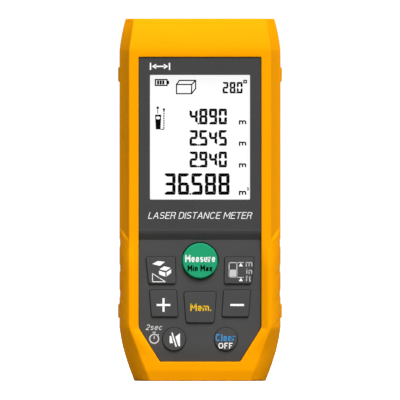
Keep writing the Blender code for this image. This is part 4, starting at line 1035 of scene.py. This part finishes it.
def digit(ch, x, top, w, h, t):
    """Mitred segments of one digit in steps: left x, top, width, height and stroke."""
    s, mid = 0.05 * t + 0.1, top + h / 2
    r, low = x + w, top + h
    left_up = [(x, top + 0.6 * t + s), (x + 0.12 * t, top + 0.5 * t + s), (x + t, top + 1.0 * t + s), (x + t, mid - 0.5 * t - s), (x + 0.3 * t, mid - 0.1 * t - s), (x, mid - 0.3 * t - s)]
    left_low = [(a, 2 * mid - b) for a, b in left_up][::-1]
    over = [(x, top + 0.5 * t), (x + 0.3 * t, top), (r - 0.3 * t, top), (r, top + 0.5 * t), (r - 0.9 * t, top + t), (x + 0.9 * t, top + t)]
    places = {
        "a": over, "d": [(a, 2 * mid - b) for a, b in over][::-1],
        "g": [(x + 0.12 * t, mid), (x + 0.75 * t, mid - 0.46 * t), (r - 0.75 * t, mid - 0.46 * t), (r - 0.12 * t, mid), (r - 0.75 * t, mid + 0.46 * t), (x + 0.75 * t, mid + 0.46 * t)],
        "f": left_up, "e": left_low,
        "b": [(x + r - a, b) for a, b in left_up][::-1], "c": [(x + r - a, b) for a, b in left_low][::-1],
    }
    return [[px(*p) for p in places[k]] for k in SEGMENTS[ch]]


def number(text, x, top, w, h, t, pitch, dot):
    out = []
    for ch in text:
        if ch == ".":
            dx, dy = x - (pitch - w) / 2, top + h - dot / 2
            out.append([px(*p) for p in ((dx - dot / 2, dy - dot / 2), (dx + dot / 2, dy - dot / 2), (dx + dot / 2, dy + dot / 2), (dx - dot / 2, dy + dot / 2))])
            continue
        out += digit(ch, x, top, w, h, t)
        x += pitch
    return out


shapes = number("4.890", 189.5, 108.5, 8.2, 15.9, 2.7, 9.75, 1.6)
shapes += number("2.545", 189.5, 130.0, 8.2, 15.8, 2.7, 9.75, 1.6)
shapes += number("2.940", 189.5, 151.5, 8.2, 15.9, 2.7, 9.75, 1.6)
shapes += number("36.588", 164.4, 173.2, 11.2, 21.6, 3.4, 13.5, 1.7)
shapes += number("28.0", 222.6, 81.9, 5.8, 11.4, 2.0, 7.1, 1.2)
slab("display_digits", shapes, LCD_Y, M["ink_black"], BODY, "chip_black", 0.03, 0.03)

icons = outline_strokes([px(243.9, 80.3), px(246.5, 80.3), px(246.5, 82.7), px(243.9, 82.7)], 0.42)
icons += outline_strokes([px(155.4, 79.5), px(167.0, 79.5), px(167.0, 85.3), px(155.4, 85.3)], 0.45)
icons += [[px(167.3, 80.7), px(169.1, 80.7), px(169.1, 84.1), px(167.3, 84.1)]]
for k in range(3):
    bx = 157.0 + 2.6 * k
    icons.append([px(bx, 80.4), px(bx + 2.1, 80.4), px(bx + 2.1, 84.4), px(bx, 84.4)])
a, b, c, d = px(176.5, 84.4), px(191.8, 84.4), px(191.4, 93.6), px(176.5, 93.6)
e, f, g = px(179.4, 80.3), px(195.6, 80.3), px(195.6, 88.6)
icons += outline_strokes([a, b, c, d], 0.42) + outline_strokes([a, e, f, b], 0.42, False) + outline_strokes([f, g, c], 0.42, False)
icons.append([px(155.0, 114.6), px(161.2, 114.6), px(160.5, 129.3), px(155.8, 129.3)])
ox, oz = px(157.7, 107.7)
icons.append(circle(ox, oz, 0.46, 14)[::-1])
icons.append(line(px(157.7, 109.2), px(157.7, 113.4), 0.26))
ox, oz = px(163.9, 109.3)
icons.append(circle(ox, oz, 0.42, 12)[::-1])
for k in range(8):
    y0 = 110.4 + 2.35 * k
    icons.append(line(px(163.9, y0), px(163.9, y0 + 1.75), 0.4))
icons.append(line(px(160.6, 129.3), px(164.3, 129.3), 0.3))
ox, oz = px(158.0, 117.8)
slab("display_icon_window", [[(ox + 0.74 * math.cos(2 * math.pi * k / 20), oz + 0.52 * math.sin(2 * math.pi * k / 20)) for k in range(20)][::-1]], LCD_Y - 0.03, M["lcd"], BODY, "chip_black", 0.02, 0.02)
slab("display_icons", icons, LCD_Y, M["ink_black"], BODY, "chip_black", 0.03, 0.03)
for k, top in enumerate((120.2, 141.5, 163.2, 190.8)):
    words(f"display_m_{k}", "m", (238.9, top, 246.3, top + 4.4), LCD_Y, M["ink_black"], BODY, 1.42, 0, 0.15, "chip_black")
words("display_cubed", "3", (246.9, 187.2, 248.7, 190.5), LCD_Y, M["ink_black"], BODY, 1.0, 0, 0.15, "chip_black")


# ---------------------------------------------------------------- back
def rear_panel():
    """The rear case: its flat back, the battery bay behind the door, the screw wells and the camera-thread seat."""
    mat = M["case"]
    ctrl = panel_ctrl([(14.0, 6.8), (21.5, 18.7), (21.5, 119.0)], 0.3)
    obj = along_y("rear_case_shell", lambda d: rounded(ctrl, [0.6] * 6, 6, d), [(12.2, 0.0)] + edge_levels(13.0, 16.2, 0.3)[0:], mat)
    join(obj, block("tub", (-13.1, 13.1), (1.4, 13.5), (12.4, 66.0), mat))
    y, z = HINGE_Y, HINGE_Z
    r = 1.5
    door = box_ctrl(-DOOR_HALF - 0.3, DOOR_HALF + 0.3, z - r - 0.3, DOOR_TOP + 0.3)
    cut(
        obj,
        along_y("door_pocket", lambda d: rounded(door, [0.35] * 4, 5, d), flared(13.7, 16.2, 0.2), mat),
        block("barrel_pocket", (-DOOR_HALF - 0.3, DOOR_HALF + 0.3), (y - r - 0.3, 13.9), (z - r - 0.3, z + r + 0.3), mat),
        along_y("bay", lambda d: rounded(box_ctrl(-11.6, 11.6, 13.9, 64.5), [1.0] * 4, 4, d), [(2.9, 0.4), (3.3, 0), (14.5, 0)], mat),
        along_x("pin_bore", lambda d: circle(y, z, 1.0, 32), [(-15.1, 0), (15.1, 0)], mat),
        along_y("scoop", lambda d: rounded(box_ctrl(-7.5, 7.5, DOOR_TOP - 1.0, DOOR_TOP + 3.4), [0.2, 0.2, 3.0, 3.0], 10, d),
                [(14.6, 1.6), (14.64, 1.2), (14.8, 0.85), (15.2, 0.5), (15.8, 0.15), (16.1, -0.05), (16.21, -0.2), (17.0, -0.3)], mat),
        along_y("tripod_seat", lambda d: circle(0, TRIPOD_Z, 4.9 - d, 72), flared(12.6, 16.2, 0.25), mat),
        along_y("optic_room", lambda d: box_ctrl(-19.0, 19.0, 83.0, 118.0), [(11.0, 0), (14.6, 0)], mat),
    )
    for sx, sz in CASE_SCREWS:
        for side in (-1, 1):
            join(obj, along_y("column", lambda d, sx=side * sx, sz=sz: circle(sx, sz, 2.9 - d, 48), [(-0.5, 0), (14.9, 0)], mat))
            cut(obj, rod_y("shank", side * sx, sz, 1.5, -2.0, 6.0, mat, 32),
                along_y("head_room", lambda d, sx=side * sx, sz=sz: circle(sx, sz, 2.3 - d, 64), flared(5.0, 16.2, 0.3), mat))
    # a shallow recessed frame so that the plain back reads as a moulding
    frame_cut = along_y("recess", lambda d: rounded(box_ctrl(-15.5, 15.5, 86.5, 108.5), [1.2] * 4, 8, d), [(15.85, 0.15), (15.9, 0.05), (16.05, 0.0), (16.19, -0.02), (16.25, -0.14), (17, -0.3)], mat)
    cut(obj, frame_cut)
    return level(obj, 32)


place(rear_panel(), "housing", "case_plastic", "rear_case")


def door():
    mat = M["case"]
    y, z = HINGE_Y, HINGE_Z
    ctrl = box_ctrl(-DOOR_HALF, DOOR_HALF, z, DOOR_TOP)
    obj = along_y("door_panel", lambda d: rounded(ctrl, [0.05, 0.05, 0.4, 0.4], 5, d), [(14.7, 0.0), (16.0, 0.0), (16.12, 0.04), (16.18, 0.1), (16.2, 0.2)], mat)
    barrel = along_x("barrel", lambda d: circle(y, z, 1.495 - d, 48), [(-DOOR_HALF + 0.02, 0.1), (-DOOR_HALF + 0.12, 0), (DOOR_HALF - 0.12, 0), (DOOR_HALF - 0.02, 0.1)], mat)
    pin = along_x("pin", lambda d: circle(y, z, 0.7 - d, 32), [(-14.7, 0.12), (-14.58, 0), (14.58, 0), (14.7, 0.12)], mat)
    tab = along_y("tab", lambda d: rounded(box_ctrl(-5.0, 5.0, DOOR_TOP - 1.0, DOOR_TOP + 1.5), [0.1, 0.1, 0.9, 0.9], 6, d), [(15.0, 0.1), (15.1, 0), (15.75, 0), (15.86, 0.04), (15.9, 0.15)], mat)
    join(obj, barrel, pin, tab)
    thumb = along_y("thumb", lambda d: rounded(box_ctrl(-6.5, 6.5, 54.5, 65.2), [2.0] * 4, 8, d), [(15.72, 0.5), (15.76, 0.25), (15.9, 0.05), (16.1, -0.05), (16.21, -0.18), (17.0, -0.4)], mat)
    cut(obj, thumb)
    for k in range(4):
        rib = along_y("rib", lambda d, k=k: rounded(box_ctrl(-5.2, 5.2, 56.2 + 2.1 * k, 57.1 + 2.1 * k), [0.4] * 4, 5, d), [(15.5, 0), (16.0, 0), (16.1, 0.05), (16.15, 0.18)], mat)
        join(obj, rib)
    return level(obj, 32)


place(door(), "door", "case_plastic", "battery_door")


def bush():
    profile = [(9.4, 4.4), (9.5, 4.5), (15.1, 4.5), (15.6, 4.5), (16.0, 4.5), (16.12, 4.46), (16.2, 4.3), (16.2, 3.75), (15.75, 3.27)]
    rings = [[(x, y, z) for x, z in circle(0, TRIPOD_Z, r, 96)] for y, r in profile]
    turns, pitch = 4, 1.27
    y = 15.6
    while y > 10.6:  # thread crests and roots
        rings.append([(x, y, z) for x, z in circle(0, TRIPOD_Z, 2.75, 96)])
        rings.append([(x, y - 0.2, z) for x, z in circle(0, TRIPOD_Z, 2.75, 96)])
        rings.append([(x, y - pitch / 2, z) for x, z in circle(0, TRIPOD_Z, 3.2, 96)])
        rings.append([(x, y - pitch / 2 - 0.2, z) for x, z in circle(0, TRIPOD_Z, 3.2, 96)])
        y -= pitch
    rings.append([(x, 10.3, z) for x, z in circle(0, TRIPOD_Z, 2.7, 96)])
    return loop_mesh("camera_bush", rings, M["brass"], angle=25)


place(bush(), "housing", "brass", "tripod_insert")


def screw_head(name, x, z, node):
    profile = [(5.3, 1.15), (5.3, 1.95), (5.4, 2.0), (6.5, 2.0), (6.75, 1.92), (6.92, 1.7), (7.0, 1.3)]
    rings = [[(px_, -7.9, pz) for px_, pz in circle(x, z, 0.7, 48)], [(px_, -7.4, pz) for px_, pz in circle(x, z, 1.15, 48)]]
    rings += [[(px_, y, pz) for px_, pz in circle(x, z, r, 48)] for y, r in profile]
    obj = loop_mesh(name, rings, M["steel"])
    for a, b in ((1.15, 0.27), (0.27, 1.15)):
        cut(obj, block("recess", (x - a, x + a), (6.1, 8.0), (z - b, z + b), M["steel"]))
    return place(obj, "housing", "steel", node)


for (sx, sz), label in zip(CASE_SCREWS, ("lower", "upper")):
    for side, word in ((-1, "left"), (1, "right")):
        screw_head(f"back_screw_{label}_{word}", side * sx, sz, f"case_screw_{label}_{word}")


# ---------------------------------------------------------------- laser end
def end_plate():
    flange = [(-19.4, -8.0), (19.4, -8.0), (19.4, 12.0), (-19.4, 12.0)]
    face = [(-17.7, -6.7), (17.7, -6.7), (17.7, 10.7), (-17.7, 10.7)]
    rings = [[(x, y, z) for x, y in rounded(flange, [2.6] * 4, 8)] for z in (122.5, 123.3)]
    rings += [[(x, y, z) for x, y in rounded(face, [2.1] * 4, 8, d)] for z, d in edge_levels(123.3, 126.4, 0.35)]
    obj = loop_mesh("end_plate", rings, M["case"])
    for x, r in ((RECEIVER_X, 7.6), (LASER_X, 3.2)):
        levels = [(120, 0.0), (125.75, 0.0), (126.0, -0.12), (126.2, -0.35), (126.41, -0.75), (128, -0.9)]
        cut(obj, along_z("aperture", lambda d, x=x, r=r: circle(x, OPTIC_Y, r - d, 96), levels, M["case"]))
    groove = along_z("groove", lambda d: circle(RECEIVER_X, OPTIC_Y, 8.62 - d, 96), [(126.2, 0), (127, 0)], M["case"])
    core = along_z("groove_core", lambda d: circle(RECEIVER_X, OPTIC_Y, 8.5 - d, 96), [(126.0, 0), (127.5, 0)], M["case"])
    cut(groove, core)
    cut(obj, groove)
    return level(obj, 32)


place(end_plate(), "housing", "case_plastic", "optics_bezel")


def lens(name, x, r, z0, z1, crown, mat, node):
    rings = [[(px_, py_, z) for px_, py_ in circle(x, OPTIC_Y, rr, 96)] for z, rr in ((z0, r - 0.1), (z0 + 0.1, r), (z1 - 0.1, r), (z1, r - 0.1))]
    if crown:
        for k in range(1, 9):
            a = k / 9
            rings.append([(px_, py_, z1 + crown * (1 - (1 - a) ** 2)) for px_, py_ in circle(x, OPTIC_Y, (r - 0.1) * math.sqrt(1 - a ** 2) + 0.02, 96)])
    return place(loop_mesh(name, rings, mat), "housing", "lens_glass", node)


lens("receiver_glass", RECEIVER_X, 7.3, 124.9, 126.0, 0, M["filter"], "receiver_window")
lens("laser_glass", LASER_X, 2.9, 124.9, 126.0, 0, M["clear"], "laser_window")
lens("receiver_objective", RECEIVER_X, 8.0, 118.3, 119.8, 1.9, M["lens"], "receiver_lens")
lens("laser_objective", LASER_X, 2.2, 117.6, 119.0, 0.7, M["lens"], "collimator_lens")

# ---------------------------------------------------------------- stage, light and camera
def studio():
    stage = bpy.data.materials.new("stage_white")
    stage.use_nodes = True
    nt = stage.node_tree
    nt.nodes.clear()
    out = nt.nodes.new("ShaderNodeOutputMaterial")
    mix = nt.nodes.new("ShaderNodeMixShader")
    ray = nt.nodes.new("ShaderNodeLightPath")
    dim, bright = nt.nodes.new("ShaderNodeBsdfDiffuse"), nt.nodes.new("ShaderNodeBsdfDiffuse")
    dim.inputs[0].default_value = (0.28, 0.28, 0.28, 1)
    bright.inputs[0].default_value = (0.86, 0.86, 0.86, 1)
    nt.links.new(ray.outputs["Is Camera Ray"], mix.inputs[0])
    nt.links.new(dim.outputs[0], mix.inputs[1])
    glow, both = nt.nodes.new("ShaderNodeEmission"), nt.nodes.new("ShaderNodeAddShader")
    glow.inputs[1].default_value = 0.72
    nt.links.new(bright.outputs[0], both.inputs[0])
    nt.links.new(glow.outputs[0], both.inputs[1])
    nt.links.new(both.outputs[0], mix.inputs[2])
    nt.links.new(mix.outputs[0], out.inputs[0])
    mesh = bpy.data.meshes.new("studio_floor")
    ring = circle(0, 0, 1.6, 96)
    mesh.from_pydata([(x, y, 0.0) for x, y in ring], [], [tuple(range(96))])
    mesh.materials.append(stage)
    floor = bpy.data.objects.new("studio_floor", mesh)
    bpy.context.scene.collection.objects.link(floor)

    world = bpy.data.worlds.new("studio_world")
    world.use_nodes = True
    wt = world.node_tree
    back = wt.nodes["Background"]
    back.inputs[0].default_value = (1, 1, 1, 1)
    ray = wt.nodes.new("ShaderNodeLightPath")
    level = wt.nodes.new("ShaderNodeMapRange")
    level.inputs[3].default_value, level.inputs[4].default_value = AMBIENT, 1.05
    wt.links.new(ray.outputs["Is Camera Ray"], level.inputs[0])
    wt.links.new(level.outputs[0], back.inputs[1])
    bpy.context.scene.world = world

    def sun(name, towards, strength, angle):
        light = bpy.data.lights.new(name, "SUN")
        light.energy = strength
        light.angle = math.radians(angle)
        obj = bpy.data.objects.new(name, light)
        obj.rotation_euler = Vector(towards).to_track_quat("Z", "Y").to_euler()
        bpy.context.scene.collection.objects.link(obj)

    sun("key_light", (0.17, -0.52, 0.83), 4.33, 32)
    sun("rim_light", (-0.1, 0.88, 0.45), 2.5, 30)


studio()
cam_data = bpy.data.cameras.new("camera")
cam_data.lens = 1000
cam_data.sensor_width = 36
cam_data.clip_end = 50
camera = bpy.data.objects.new("camera", cam_data)
FRONT_PLANE = -0.0165
camera.location = (0.0, FRONT_PLANE - 0.14 * 1000 / 36, (381.2 - 200) * 0.35 * MM)
camera.rotation_euler = (math.pi / 2, 0, 0)
bpy.context.scene.collection.objects.link(camera)
bpy.context.scene.camera = camera
bpy.context.scene.view_settings.view_transform = "Standard"
bpy.context.scene.view_settings.look = "None"

bpy.context.view_layer.update()
